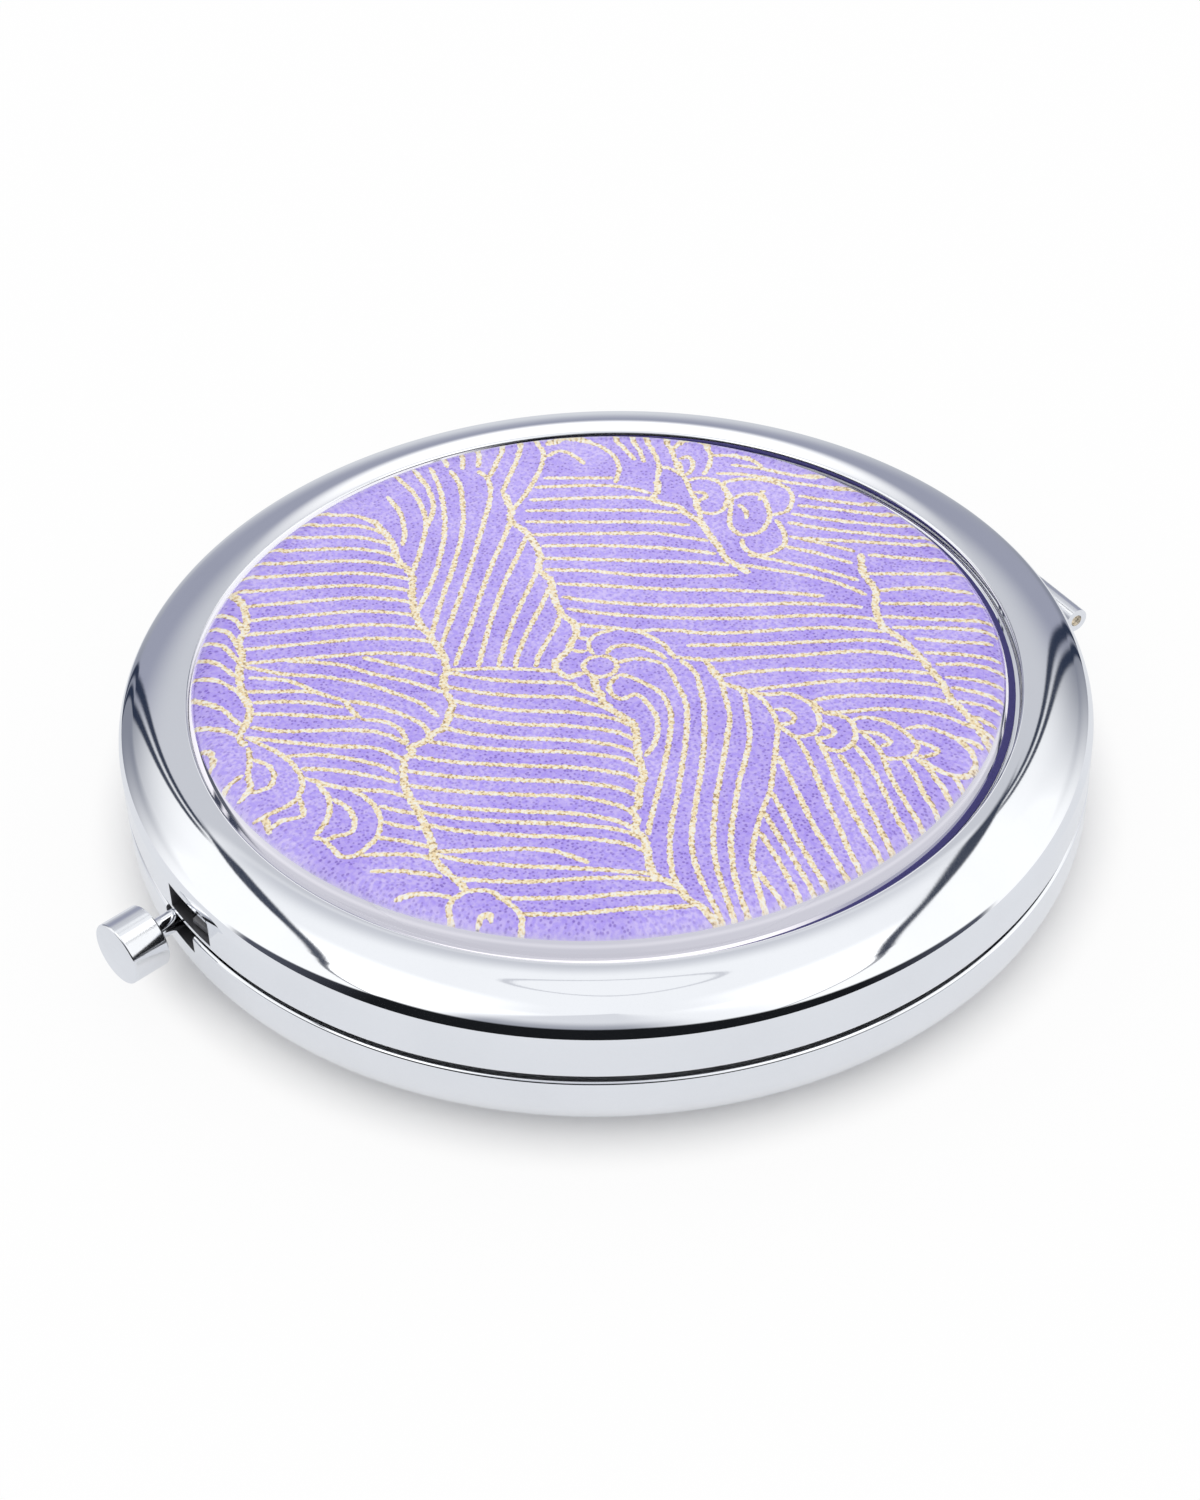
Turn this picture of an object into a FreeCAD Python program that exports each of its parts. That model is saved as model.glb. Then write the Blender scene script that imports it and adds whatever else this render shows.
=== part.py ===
import FreeCAD, Part
import math
import os
import Sketcher

# A round pocket mirror with a hinged lid and a push button latch, in millimetres and degrees.
# The origin is the middle of the flat underside, +Z is up, the button faces -Y, the hinge is at +Y.

# Driving sizes: alias, number, what it measures
SIZES = (
    # Case shells, both pressed from one sheet
    ("case_radius", "35", "outer radius of the case wall"),
    ("shell_wall", "0.8", "sheet thickness of both shells"),
    ("base_height", "5.2", "underside to the parting plane"),
    ("lid_height", "5.6", "parting plane to the crest of the lid"),
    ("seam_gap", "0.5", "gap between the two rims"),
    ("rim_round", "0.25", "rounding of the outer rim edges"),
    ("bevel_width", "5", "radial width of the domed border"),
    ("bevel_tilt", "22", "slope of the border where it meets the edge"),
    ("edge_round", "2", "rounding between the border and the wall"),
    ("lip_round", "0.2", "rounding of the lip round the tray"),
    ("tray_depth", "1", "depth of the tray in the lid"),
    # What lies in the tray
    ("dome_gap", "0.5", "tray wall to the clear dome, were it in the middle"),
    ("dome_aside", "0.23", "clear dome off the middle of the tray, along the hinge"),
    ("dome_forward", "0.38", "clear dome off the middle of the tray, towards the button"),
    ("adhesive_thick", "0.1", "adhesive film under the paper"),
    ("paper_thick", "0.15", "printed paper"),
    ("paper_inset", "0.4", "paper edge inside the tray wall"),
    ("dome_edge", "0.35", "upright edge of the dome"),
    ("shoulder_radius", "2.6", "rounding of the dome's shoulder"),
    ("shoulder_tilt", "62", "slope of the shoulder at the edge"),
    ("crown_tilt", "1.2", "slope of the crown at the shoulder"),
    # Mirrors and the rings that hold them
    ("ring_setback", "0.35", "face of a ring behind the parting plane"),
    ("ring_flange", "0.8", "thickness of a ring's flange"),
    ("ring_gap", "0.1", "ring to the shell wall"),
    ("skirt_wall", "0.7", "thickness of a ring's skirt"),
    ("skirt_gap", "0.1", "mirror edge to the skirt"),
    ("mirror_thick", "1.2", "mirror glass"),
    ("mirror_overlap", "0.8", "flange over the mirror's edge"),
    ("mirror_dish", "0.6", "depth of the magnifying mirror's hollow"),
    ("pad_inset", "3", "foam pad edge inside the mirror edge"),
    ("glue_gap", "0.05", "glue or solder between seated pieces"),
    # Hinge
    ("knuckle_radius", "0.95", "outer radius of the hinge barrel"),
    ("pin_radius", "0.45", "hinge pin"),
    ("pin_grip_gap", "0.02", "pin in the fixed knuckles"),
    ("pin_running_gap", "0.05", "pin in the turning knuckle"),
    ("pin_recess", "0.3", "pin ends inside the barrel ends"),
    ("hinge_length", "19", "length of the hinge barrel"),
    ("middle_knuckle", "8.4", "length of the lid's knuckle"),
    ("leaf_thick", "0.45", "hinge leaf strip"),
    ("leaf_gap", "0.15", "leaf in its slot"),
    ("leaf_drop", "1.5", "length of a leaf's tab along the wall"),
    # Push button and latch
    ("running_gap", "0.3", "room between pieces that pass each other"),
    ("latch_lean", "10", "turn of the button's axis in plan, its outer end to the right"),
    ("latch_aside", "0.4", "button's axis left of the middle, at the face of the wall"),
    ("stem_radius", "0.78", "button stem"),
    ("stem_room", "0.2", "stem to the rim of the lid above it"),
    ("tail_radius", "0.5", "thin ends of the stem"),
    ("tail_gap", "0.02", "thin stem ends in their holes"),
    ("spigot_length", "2", "stem end inside the cap"),
    ("head_radius", "0.9", "peened head on the stem"),
    ("head_thick", "0.25", "thickness of the peened head"),
    ("cap_radius", "2.3", "button cap"),
    ("cap_length", "2.9", "length of the button cap's side"),
    ("cap_edge", "0.15", "rounding of the cap's edges"),
    ("cap_crown", "0.15", "crown of the cap's face"),
    ("cap_standoff", "2", "case wall to the cap"),
    ("button_travel", "1", "travel of the button"),
    ("hook_setback", "1.1", "shell wall to the hook plate"),
    ("hook_thick", "0.5", "hook plate"),
    ("hook_left", "1.3", "hook plate left of the button's axis"),
    ("hook_right", "4.9", "hook plate right of the button's axis"),
    ("nose_start", "2.7", "left end of the hook nose, right of the button's axis"),
    ("hook_reach", "0.9", "hook nose past the inner face of the wall"),
    ("hook_lift", "0.2", "hook nose above the keeper bar"),
    ("nose_thick", "0.35", "flat end of the hook nose"),
    ("nose_height", "1.05", "height of the hook nose"),
    ("keeper_bar", "0.5", "height of the lid's keeper bar"),
    ("window_height", "2.1", "height of the window above the bar"),
    ("window_left_room", "2.57", "hook nose to the left end of the window"),
    ("window_right_room", "0.36", "hook nose to the right end of the window"),
    ("slot_left_room", "0.4", "stem to the left end of its slot"),
    ("slot_right_room", "2", "stem to the right end of its slot"),
    ("slot_floor_gap", "0.15", "room under the stem in its slot"),
    ("spring_thick", "0.15", "flat latch spring"),
    ("spring_eye", "1.35", "half width of the spring's eye"),
    ("spring_clear", "0.25", "room above the spring's arm"),
    ("washer_radius", "0.95", "washer behind the spring"),
    ("washer_thick", "0.3", "thickness of the washer"),
    # One overrun for all cuts
    ("overrun", "1", "how far a cut runs past what it cuts"),
)

# Places worked out from the sizes: alias, formula, what it is
PLACES = (
    ("crest_radius", "Size.case_radius - Size.bevel_width", "crest of the lid, rim of the underside"),
    ("tray_radius", "crest_radius - Size.lip_round", "wall of the tray"),
    ("wall_inner", "Size.case_radius - Size.shell_wall", "inner face of the case wall"),
    ("lid_top", "Size.base_height + Size.lid_height", "height of the crest"),
    ("base_rim", "Size.base_height - Size.seam_gap / 2", "top of the base wall"),
    ("lid_rim", "Size.base_height + Size.seam_gap / 2", "bottom of the lid wall"),
    ("bevel_run", "Size.bevel_width - Size.edge_round", "crest to the centre of the edge rounding"),
    ("bevel_radius", "Size.edge_round + bevel_run / sin(Size.bevel_tilt * 1 deg)", "arc of the border"),
    ("bevel_far", "crest_radius + bevel_radius * sin(Size.bevel_tilt * 1 deg)", "outer end of that arc"),
    ("bevel_low", "bevel_radius * (1 - cos(Size.bevel_tilt * 1 deg))", "fall of that arc"),
    ("edge_low", "bevel_low + Size.edge_round * cos(Size.bevel_tilt * 1 deg)", "fall to the upright wall"),
    ("inner_bevel", "bevel_radius - Size.shell_wall", "inner arc of the border"),
    ("inner_edge", "Size.edge_round - Size.shell_wall", "inner arc between border and wall"),
    ("inner_far", "crest_radius + inner_bevel * sin(Size.bevel_tilt * 1 deg)", "where those arcs meet"),
    ("inner_fall", "bevel_radius - inner_bevel * cos(Size.bevel_tilt * 1 deg)", "fall to that point"),
    ("tray_floor", "lid_top - Size.tray_depth", "floor of the tray"),
    ("tray_under", "tray_floor - Size.shell_wall", "underside of the tray"),
    ("tray_outside", "tray_radius + Size.shell_wall", "tray wall seen from inside the lid"),
    ("lip_run", "tray_outside - crest_radius", "crest to that wall"),
    ("crest_low", "bevel_radius - sqrt(inner_bevel ^ 2 - lip_run ^ 2)", "fall to the underside there"),
    ("dome_radius", "tray_radius - Size.dome_gap", "edge of the clear dome"),
    ("paper_radius", "tray_radius - Size.paper_inset", "edge of the paper"),
    ("paper_foot", "tray_floor + Size.adhesive_thick", "underside of the paper"),
    ("dome_foot", "paper_foot + Size.paper_thick", "underside of the dome"),
    ("shoulder_foot", "dome_foot + Size.dome_edge", "start of the shoulder"),
    ("shoulder_run", "sin(Size.shoulder_tilt * 1 deg) - sin(Size.crown_tilt * 1 deg)", "its width ratio"),
    ("shoulder_rise", "cos(Size.crown_tilt * 1 deg) - cos(Size.shoulder_tilt * 1 deg)", "its rise ratio"),
    ("crown_radius", "dome_radius - Size.shoulder_radius * shoulder_run", "edge of the crown"),
    ("crown_foot", "shoulder_foot + Size.shoulder_radius * shoulder_rise", "height of that edge"),
    ("crown_arc", "crown_radius / sin(Size.crown_tilt * 1 deg)", "arc of the crown"),
    ("crown_top", "crown_foot + crown_arc * (1 - cos(Size.crown_tilt * 1 deg))", "top of the dome"),
    ("ring_outer", "wall_inner - Size.ring_gap", "outer edge of the rings"),
    ("latch_stack", "Size.hook_thick + Size.spring_thick + Size.washer_thick + Size.head_thick", "latch"),
    ("latch_room", "Size.hook_setback + Size.button_travel + 2 * Size.running_gap", "room to move it"),
    ("channel_width", "latch_stack + latch_room", "free channel between skirt and shell wall"),
    ("skirt_outer", "wall_inner - channel_width", "outer face of the skirts"),
    ("skirt_inner", "skirt_outer - Size.skirt_wall", "inner face of the skirts"),
    ("mirror_radius", "skirt_inner - Size.skirt_gap", "edge of the mirrors"),
    ("ring_inner", "mirror_radius - Size.mirror_overlap", "opening of the rings"),
    ("pad_radius", "mirror_radius - Size.pad_inset", "edge of the foam pads"),
    ("base_ring_face", "Size.base_height - Size.ring_setback", "face of the base ring"),
    ("base_ring_back", "base_ring_face - Size.ring_flange", "back of its flange"),
    ("base_mirror_back", "base_ring_back - Size.mirror_thick", "back of the base mirror at its edge"),
    ("base_mirror_low", "base_mirror_back - Size.mirror_dish", "its back in the middle"),
    ("dish_arc", "(mirror_radius ^ 2 + Size.mirror_dish ^ 2) / (2 * Size.mirror_dish)", "arc of the hollow"),
    ("pad_top", "base_mirror_low - Size.glue_gap", "middle of the base pad's top"),
    ("pad_rim", "pad_top + dish_arc - sqrt(dish_arc ^ 2 - pad_radius ^ 2)", "edge of the base pad's top"),
    ("lid_ring_face", "Size.base_height + Size.ring_setback", "face of the lid ring"),
    ("lid_ring_back", "lid_ring_face + Size.ring_flange", "back of its flange"),
    ("lid_mirror_back", "lid_ring_back + Size.mirror_thick", "back of the lid mirror"),
    ("hinge_out", "Size.case_radius + Size.running_gap + Size.knuckle_radius", "hinge axis from the middle"),
    ("knuckle_near", "Size.middle_knuckle / 2 + Size.running_gap", "inner end of a base knuckle"),
    ("knuckle_far", "Size.hinge_length / 2", "outer end of a base knuckle"),
    ("tab_outer", "wall_inner - Size.glue_gap", "leaf tab against the wall"),
    ("tab_inner", "tab_outer - Size.leaf_thick", "inner face of a leaf tab"),
    ("base_leaf_low", "Size.base_height - Size.knuckle_radius", "underside of a base leaf"),
    ("base_leaf_high", "base_leaf_low + Size.leaf_thick", "top of a base leaf"),
    ("lid_leaf_high", "Size.base_height + Size.knuckle_radius", "top of the lid leaf"),
    ("lid_leaf_low", "lid_leaf_high - Size.leaf_thick", "underside of the lid leaf"),
    ("stem_height", "lid_rim - Size.stem_room - Size.stem_radius", "height of the button's axis"),
    ("slot_floor", "stem_height - Size.stem_radius - Size.slot_floor_gap", "floor of the stem slot"),
    ("lean_sine", "sin(Size.latch_lean * 1 deg)", "sine of the button's lean"),
    ("lean_cosine", "cos(Size.latch_lean * 1 deg)", "cosine of the button's lean"),
    ("latch_x", "-Size.latch_aside - Size.case_radius * lean_sine", "shift of the leaning latch along X"),
    ("latch_y", "Size.case_radius * (lean_cosine - 1)", "shift of the leaning latch along Y"),
    ("slot_left", "-Size.latch_aside - Size.stem_radius - Size.slot_left_room", "left end of the stem slot"),
    ("slot_right", "Size.stem_radius - Size.latch_aside + Size.slot_right_room", "right end of the stem slot"),
    ("window_low", "lid_rim + Size.keeper_bar", "bottom of the window"),
    ("window_high", "window_low + Size.window_height", "top of the window"),
    ("hook_face", "wall_inner - Size.hook_setback", "outer face of the hook plate"),
    ("hook_back", "hook_face - Size.hook_thick", "inner face of the hook plate"),
    ("hook_tip", "wall_inner + Size.hook_reach", "tip of the hook nose"),
    ("nose_left", "latch_x + Size.nose_start * lean_cosine + hook_tip * lean_sine", "left end of its tip"),
    ("nose_right", "latch_x + Size.hook_right * lean_cosine + hook_tip * lean_sine", "right end of its tip"),
    ("window_left", "nose_left - Size.window_left_room", "left end of the window"),
    ("window_right", "nose_right + Size.window_right_room", "right end of the window"),
    ("nose_low", "window_low + Size.hook_lift", "underside of the hook nose"),
    ("nose_high", "nose_low + Size.nose_height", "top of the hook"),
    ("spring_back", "hook_back - Size.spring_thick", "inner face of the spring"),
    ("washer_back", "spring_back - Size.washer_thick", "inner face of the washer"),
    ("head_end", "washer_back - Size.head_thick", "inner end of the stem"),
    ("pressed_back", "hook_back - Size.button_travel", "inner face of the hook plate when pressed"),
    ("pressed_left", "latch_x - Size.hook_left * lean_cosine + pressed_back * lean_sine", "its left end then"),
    ("notch_left", "pressed_left - Size.running_gap", "left end of a ring's notch"),
    ("notch_right", "nose_right + Size.running_gap", "right end of a ring's notch"),
    ("notch_inner", "skirt_outer + Size.running_gap / 2", "inner end of a ring's notch, clear of the skirt"),
    ("spring_high", "base_ring_back - Size.spring_clear", "top of the spring's arm"),
    ("spring_low", "edge_low + Size.glue_gap", "bottom of the spring, on the upright wall"),
    ("spring_top", "stem_height + Size.head_radius", "top of the spring's eye"),
    ("middle_x", "Size.latch_aside * lean_cosine + Size.case_radius * lean_sine", "middle of the case, leaning"),
    ("middle_y", "Size.case_radius * (lean_cosine - 1) - Size.latch_aside * lean_sine", "the same along Y"),
    ("spring_half", "sqrt(tab_outer ^ 2 - (hook_back + middle_y) ^ 2)", "half chord of the wall at the spring"),
    ("spring_end", "middle_x - spring_half", "end of the spring against the wall"),
    ("cap_back", "Size.case_radius + Size.cap_standoff", "inner end of the cap"),
    ("cap_front", "cap_back + Size.cap_length", "face edge of the cap"),
    ("cap_face", "Size.cap_radius - Size.cap_edge", "radius of the cap's face"),
    ("cap_arc", "(cap_face ^ 2 + Size.cap_crown ^ 2) / (2 * Size.cap_crown)", "arc of the cap's face"),
)

LEFT = 1
RIGHT = -1

doc = FreeCAD.newDocument("CompactMirror")


def fill_sheet(name, rows, sign):
    """Make a sheet with one aliased cell for each row."""
    sheet = doc.addObject("Spreadsheet::Sheet", name)
    for line, (alias, content, note) in enumerate(rows, 1):
        sheet.set(f"A{line}", note)
        sheet.set(f"B{line}", sign + content)
        sheet.setAlias(f"B{line}", alias)
        doc.recompute()
    return sheet


sizes = fill_sheet("Size", SIZES, "")
places = fill_sheet("Place", PLACES, "=")


def number(formula):
    """The value of a formula in sheet cells."""
    return float(places.evalExpression(formula))


def arc_between(start, end, radius, turn):
    """The arc of under a half circle from start to end that turns LEFT or RIGHT."""
    along = end - start
    aside = FreeCAD.Vector(-along.y, along.x, 0) * (turn / along.Length)
    centre = (start + end) / 2 + aside * math.sqrt(radius ** 2 - (along.Length / 2) ** 2)
    first, last = (start, end) if turn == LEFT else (end, start)
    angles = [math.atan2(point.y - centre.y, point.x - centre.x) for point in (first, last)]
    return Part.ArcOfCircle(Part.Circle(centre, FreeCAD.Vector(0, 0, 1), radius), *angles)


def fix(sketch, kind, geometry, formula):
    """Add a constraint and tie its value to the sheet."""
    row = sketch.addConstraint(Sketcher.Constraint(kind, *geometry, number(formula)))
    sketch.setExpression(f"Constraints[{row}]", formula)


def pin_point(sketch, geometry, point, x, y):
    """Hold one point of a sketch at two formulas."""
    for kind, axis, formula in (("DistanceX", -2, x), ("DistanceY", -1, y)):
        if formula == "0":
            sketch.addConstraint(Sketcher.Constraint("PointOnObject", geometry, point, axis))
        else:
            fix(sketch, kind, (-1, 1, geometry, point), formula)


def draw_loop(sketch, corners):
    """Draw a closed loop: each corner is (x, y), or (x, y, radius, turn) where an arc leads to it."""
    points = [FreeCAD.Vector(number(corner[0]), number(corner[1]), 0) for corner in corners]
    ends = []
    for index, corner in enumerate(corners):
        start, end = points[index - 1], points[index]
        if len(corner) == 2:
            geometry = sketch.addGeometry(Part.LineSegment(start, end), False)
            ends.append((geometry, 1, 2))
            continue
        x, y, radius, turn = corner
        geometry = sketch.addGeometry(arc_between(start, end, number(radius), turn), False)
        ends.append((geometry, 1, 2) if turn == LEFT else (geometry, 2, 1))
        fix(sketch, "Radius", (geometry,), radius)
    for index, corner in enumerate(corners):
        geometry, start, end = ends[index]
        following, follow_start, follow_end = ends[(index + 1) % len(ends)]
        sketch.addConstraint(Sketcher.Constraint("Coincident", geometry, end, following, follow_start))
        pin_point(sketch, geometry, end, corner[0], corner[1])


def draw_circle(sketch, x, y, radius):
    """Draw a circle at two formulas."""
    centre = FreeCAD.Vector(number(x), number(y), 0)
    circle = Part.Circle(centre, FreeCAD.Vector(0, 0, 1), number(radius))
    geometry = sketch.addGeometry(circle, False)
    fix(sketch, "Radius", (geometry,), radius)
    pin_point(sketch, geometry, 3, x, y)


def rectangle(left, right, low, high):
    """The four corners of a rectangle."""
    return [(left, low), (right, low), (right, high), (left, high)]


def new_body(label):
    """A body whose label names the piece."""
    body = doc.addObject("PartDesign::Body", label)
    body.Label = label
    return body


def new_sketch(body, plane, lift="0", raised="0"):
    """A sketch on an origin plane, lifted along the plane's normal or raised along its upright axis."""
    sketch = body.newObject("Sketcher::SketchObject", f"{body.Label}_outline")
    origin = next(item for item in body.Origin.OriginFeatures if item.Role == plane)
    sketch.AttachmentSupport = (origin, [""])
    sketch.MapMode = "FlatFace"
    sketch.setExpression("AttachmentOffset.Base.z", lift)
    sketch.setExpression("AttachmentOffset.Base.y", raised)
    doc.recompute()
    return sketch


def turned(label, corners, plane="XZ_Plane", axis="V_Axis", raised="0"):
    """A piece turned about an axis of its sketch."""
    body = new_body(label)
    sketch = new_sketch(body, plane, raised=raised)
    draw_loop(sketch, corners)
    doc.recompute()
    feature = body.newObject("PartDesign::Revolution", f"{label}_turned")
    feature.Profile = sketch
    feature.ReferenceAxis = (sketch, [axis])
    doc.recompute()
    return body


def add_pad(body, sketch, length, side="One side", backward=False):
    """Thicken a sketch."""
    doc.recompute()
    feature = body.newObject("PartDesign::Pad", f"{body.Label}_pad")
    feature.Profile = sketch
    feature.SideType = side
    feature.Reversed = backward
    feature.setExpression("Length", length)
    doc.recompute()


def cut(body, sketch, length, side="One side", backward=False):
    """Cut a sketch out of a body, and stop if nothing was cut."""
    doc.recompute()
    before = body.Shape.Volume
    feature = body.newObject("PartDesign::Pocket", f"{body.Label}_cut")
    feature.Profile = sketch
    feature.SideType = side
    feature.Reversed = backward
    feature.setExpression("Length", length)
    doc.recompute()
    if not body.Shape.Volume < before:
        raise RuntimeError(f"{feature.Label} cuts nothing")


def cut_wall(body, corners, front):
    """Cut an opening through the case wall, at the front or at the hinge."""
    lift = "Place.skirt_outer" if front else "-Place.skirt_outer"
    sketch = new_sketch(body, "XZ_Plane", lift)
    draw_loop(sketch, corners)
    cut(body, sketch, "Place.channel_width + Size.shell_wall + Size.overrun", backward=front)


def make_base_shell():
    """Pressed lower shell: flat underside, domed border, upright wall with slots for stem and hinge."""
    body = turned("base_shell", [
        ("0", "0"),
        ("Place.crest_radius", "0"),
        ("Place.bevel_far", "Place.bevel_low", "Place.bevel_radius", LEFT),
        ("Size.case_radius", "Place.edge_low", "Size.edge_round", LEFT),
        ("Size.case_radius", "Place.base_rim - Size.rim_round"),
        ("Size.case_radius - Size.rim_round", "Place.base_rim", "Size.rim_round", LEFT),
        ("Place.wall_inner", "Place.base_rim"),
        ("Place.wall_inner", "Place.edge_low"),
        ("Place.inner_far", "Place.inner_fall", "Place.inner_edge", RIGHT),
        ("Place.crest_radius", "Size.shell_wall", "Place.inner_bevel", RIGHT),
        ("0", "Size.shell_wall"),
    ])
    past_rim = "Place.base_rim + Size.overrun"
    slot = rectangle("Place.slot_left", "Place.slot_right", "Place.slot_floor", past_rim)
    cut_wall(body, slot, front=True)
    near = "Place.knuckle_near - Size.leaf_gap"
    far = "Place.knuckle_far + Size.leaf_gap"
    low = "Place.base_leaf_low - Size.leaf_gap"
    cut_wall(body, rectangle(near, far, low, past_rim), front=False)
    cut_wall(body, rectangle(f"-({far})", f"-({near})", low, past_rim), front=False)
    return body


def make_lid_shell():
    """Pressed upper shell: tray, rounded lip, domed border, wall with a latch window and a hinge slot."""
    body = turned("lid_shell", [
        ("0", "Place.tray_floor"),
        ("0", "Place.tray_under"),
        ("Place.tray_outside", "Place.tray_under"),
        ("Place.tray_outside", "Place.lid_top - Place.crest_low"),
        ("Place.inner_far", "Place.lid_top - Place.inner_fall", "Place.inner_bevel", RIGHT),
        ("Place.wall_inner", "Place.lid_top - Place.edge_low", "Place.inner_edge", RIGHT),
        ("Place.wall_inner", "Place.lid_rim"),
        ("Size.case_radius - Size.rim_round", "Place.lid_rim"),
        ("Size.case_radius", "Place.lid_rim + Size.rim_round", "Size.rim_round", LEFT),
        ("Size.case_radius", "Place.lid_top - Place.edge_low"),
        ("Place.bevel_far", "Place.lid_top - Place.bevel_low", "Size.edge_round", LEFT),
        ("Place.crest_radius", "Place.lid_top", "Place.bevel_radius", LEFT),
        ("Place.tray_radius", "Place.lid_top - Size.lip_round", "Size.lip_round", LEFT),
        ("Place.tray_radius", "Place.tray_floor"),
    ])
    window = rectangle("Place.window_left", "Place.window_right", "Place.window_low", "Place.window_high")
    cut_wall(body, window, front=True)
    half = "Size.middle_knuckle / 2 + Size.leaf_gap"
    past_rim = "Place.lid_rim - Size.overrun"
    high = "Place.lid_leaf_high + Size.leaf_gap"
    cut_wall(body, rectangle(f"-({half})", half, past_rim, high), front=False)
    return body


def make_disc(label, radius, low, high):
    """A plain flat disc."""
    return turned(label, [("0", low), (radius, low), (radius, high), ("0", high)])


def make_clear_dome():
    """Clear cast dome, glued a little off the middle: low upright edge, round shoulder, gentle crown."""
    body = turned("clear_dome", [
        ("0", "Place.dome_foot"),
        ("Place.dome_radius", "Place.dome_foot"),
        ("Place.dome_radius", "Place.shoulder_foot"),
        ("Place.crown_radius", "Place.crown_foot", "Size.shoulder_radius", LEFT),
        ("0", "Place.crown_top", "Place.crown_arc", LEFT),
    ])
    body.setExpression("Placement.Base.x", "-Size.dome_aside")
    body.setExpression("Placement.Base.y", "-Size.dome_forward")
    doc.recompute()
    return body


def make_base_mirror():
    """Dished glass that magnifies, of even thickness."""
    return turned("base_mirror", [
        ("0", "Place.base_mirror_low"),
        ("Place.mirror_radius", "Place.base_mirror_back", "Place.dish_arc", LEFT),
        ("Place.mirror_radius", "Place.base_ring_back"),
        ("0", "Place.base_ring_back - Size.mirror_dish", "Place.dish_arc", RIGHT),
    ])


def make_base_mirror_pad():
    """Foam pad that follows the back of the dished mirror."""
    return turned("base_mirror_pad", [
        ("0", "Size.shell_wall"),
        ("Place.pad_radius", "Size.shell_wall"),
        ("Place.pad_radius", "Place.pad_rim"),
        ("0", "Place.pad_top", "Place.dish_arc", RIGHT),
    ])


def notch_ring(body, leaf_half):
    """Open a ring for the hook in front and for the hinge leaf behind."""
    reach = "Size.case_radius + Size.overrun"
    through = "2 * (Size.base_height + Size.lid_height)"
    sketch = new_sketch(body, "XY_Plane")
    draw_loop(sketch, rectangle("Place.notch_left", "Place.notch_right", f"-({reach})", "-Place.notch_inner"))
    cut(body, sketch, through, side="Symmetric")
    inner = f"sqrt(Place.tab_inner ^ 2 - ({leaf_half}) ^ 2) - Size.leaf_gap"
    side = f"{leaf_half} + Size.leaf_gap"
    sketch = new_sketch(body, "XY_Plane")
    draw_loop(sketch, rectangle(f"-({side})", side, inner, reach))
    cut(body, sketch, through, side="Symmetric")


def make_ring(label, face, back, foot, leaf_half):
    """Ring round a mirror: a flange over its edge, and a skirt that stands on the shell."""
    flange_then_skirt = [
        ("Place.ring_inner", face),
        ("Place.ring_outer", face),
        ("Place.ring_outer", back),
        ("Place.skirt_outer", back),
        ("Place.skirt_outer", foot),
        ("Place.skirt_inner", foot),
        ("Place.skirt_inner", back),
        ("Place.ring_inner", back),
    ]
    body = turned(label, flange_then_skirt)
    notch_ring(body, leaf_half)
    return body


def make_hinge_leaf(label, left, right, low, high, tab_low, tab_high, bore):
    """Leaf from left to right: a tab along the wall, a tongue through it and a knuckle round the pin."""
    body = new_body(label)

    def on_circle(radius, x):
        return f"sqrt({radius} ^ 2 - ({x}) ^ 2)"

    sketch = new_sketch(body, "XY_Plane", tab_low)
    draw_loop(sketch, [
        (left, on_circle("Place.tab_inner", left)),
        (right, on_circle("Place.tab_inner", right), "Place.tab_inner", RIGHT),
        (right, on_circle("Place.tab_outer", right)),
        (left, on_circle("Place.tab_outer", left), "Place.tab_outer", LEFT),
    ])
    add_pad(body, sketch, f"{tab_high} - ({tab_low})")
    sketch = new_sketch(body, "XY_Plane", low)
    draw_loop(sketch, [
        (left, on_circle("Place.tab_inner", left)),
        (right, on_circle("Place.tab_inner", right), "Place.tab_inner", RIGHT),
        (right, "Place.hinge_out"),
        (left, "Place.hinge_out"),
    ])
    add_pad(body, sketch, f"{high} - ({low})")
    length = f"{right} - ({left})"
    sketch = new_sketch(body, "YZ_Plane", left)
    draw_circle(sketch, "Place.hinge_out", "Size.base_height", "Size.knuckle_radius")
    add_pad(body, sketch, length)
    sketch = new_sketch(body, "YZ_Plane", left)
    draw_circle(sketch, "Place.hinge_out", "Size.base_height", bore)
    cut(body, sketch, length, backward=True)
    return body


def make_hinge_leaves():
    """Two leaves on the base and one between them on the lid."""
    base_tab = "Place.base_leaf_high - Size.leaf_drop"
    base_heights = ("Place.base_leaf_low", "Place.base_leaf_high", base_tab, "Place.base_leaf_high")
    base_bore = "Size.pin_radius + Size.pin_grip_gap"
    lid_tab = "Place.lid_leaf_low + Size.leaf_drop"
    lid_heights = ("Place.lid_leaf_low", "Place.lid_leaf_high", "Place.lid_leaf_low", lid_tab)
    lid_bore = "Size.pin_radius + Size.pin_running_gap"
    half = "Size.middle_knuckle / 2"
    return [
        make_hinge_leaf("base_hinge_leaf_left", "-Place.knuckle_far", "-Place.knuckle_near",
                        *base_heights, base_bore),
        make_hinge_leaf("base_hinge_leaf_right", "Place.knuckle_near", "Place.knuckle_far",
                        *base_heights, base_bore),
        make_hinge_leaf("lid_hinge_leaf", f"-{half}", half, *lid_heights, lid_bore),
    ]


def make_hinge_pin():
    """Straight pin through all knuckles."""
    body = new_body("hinge_pin")
    sketch = new_sketch(body, "YZ_Plane")
    draw_circle(sketch, "Place.hinge_out", "Size.base_height", "Size.pin_radius")
    add_pad(body, sketch, "Size.hinge_length - 2 * Size.pin_recess", side="Symmetric")
    return body


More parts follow.
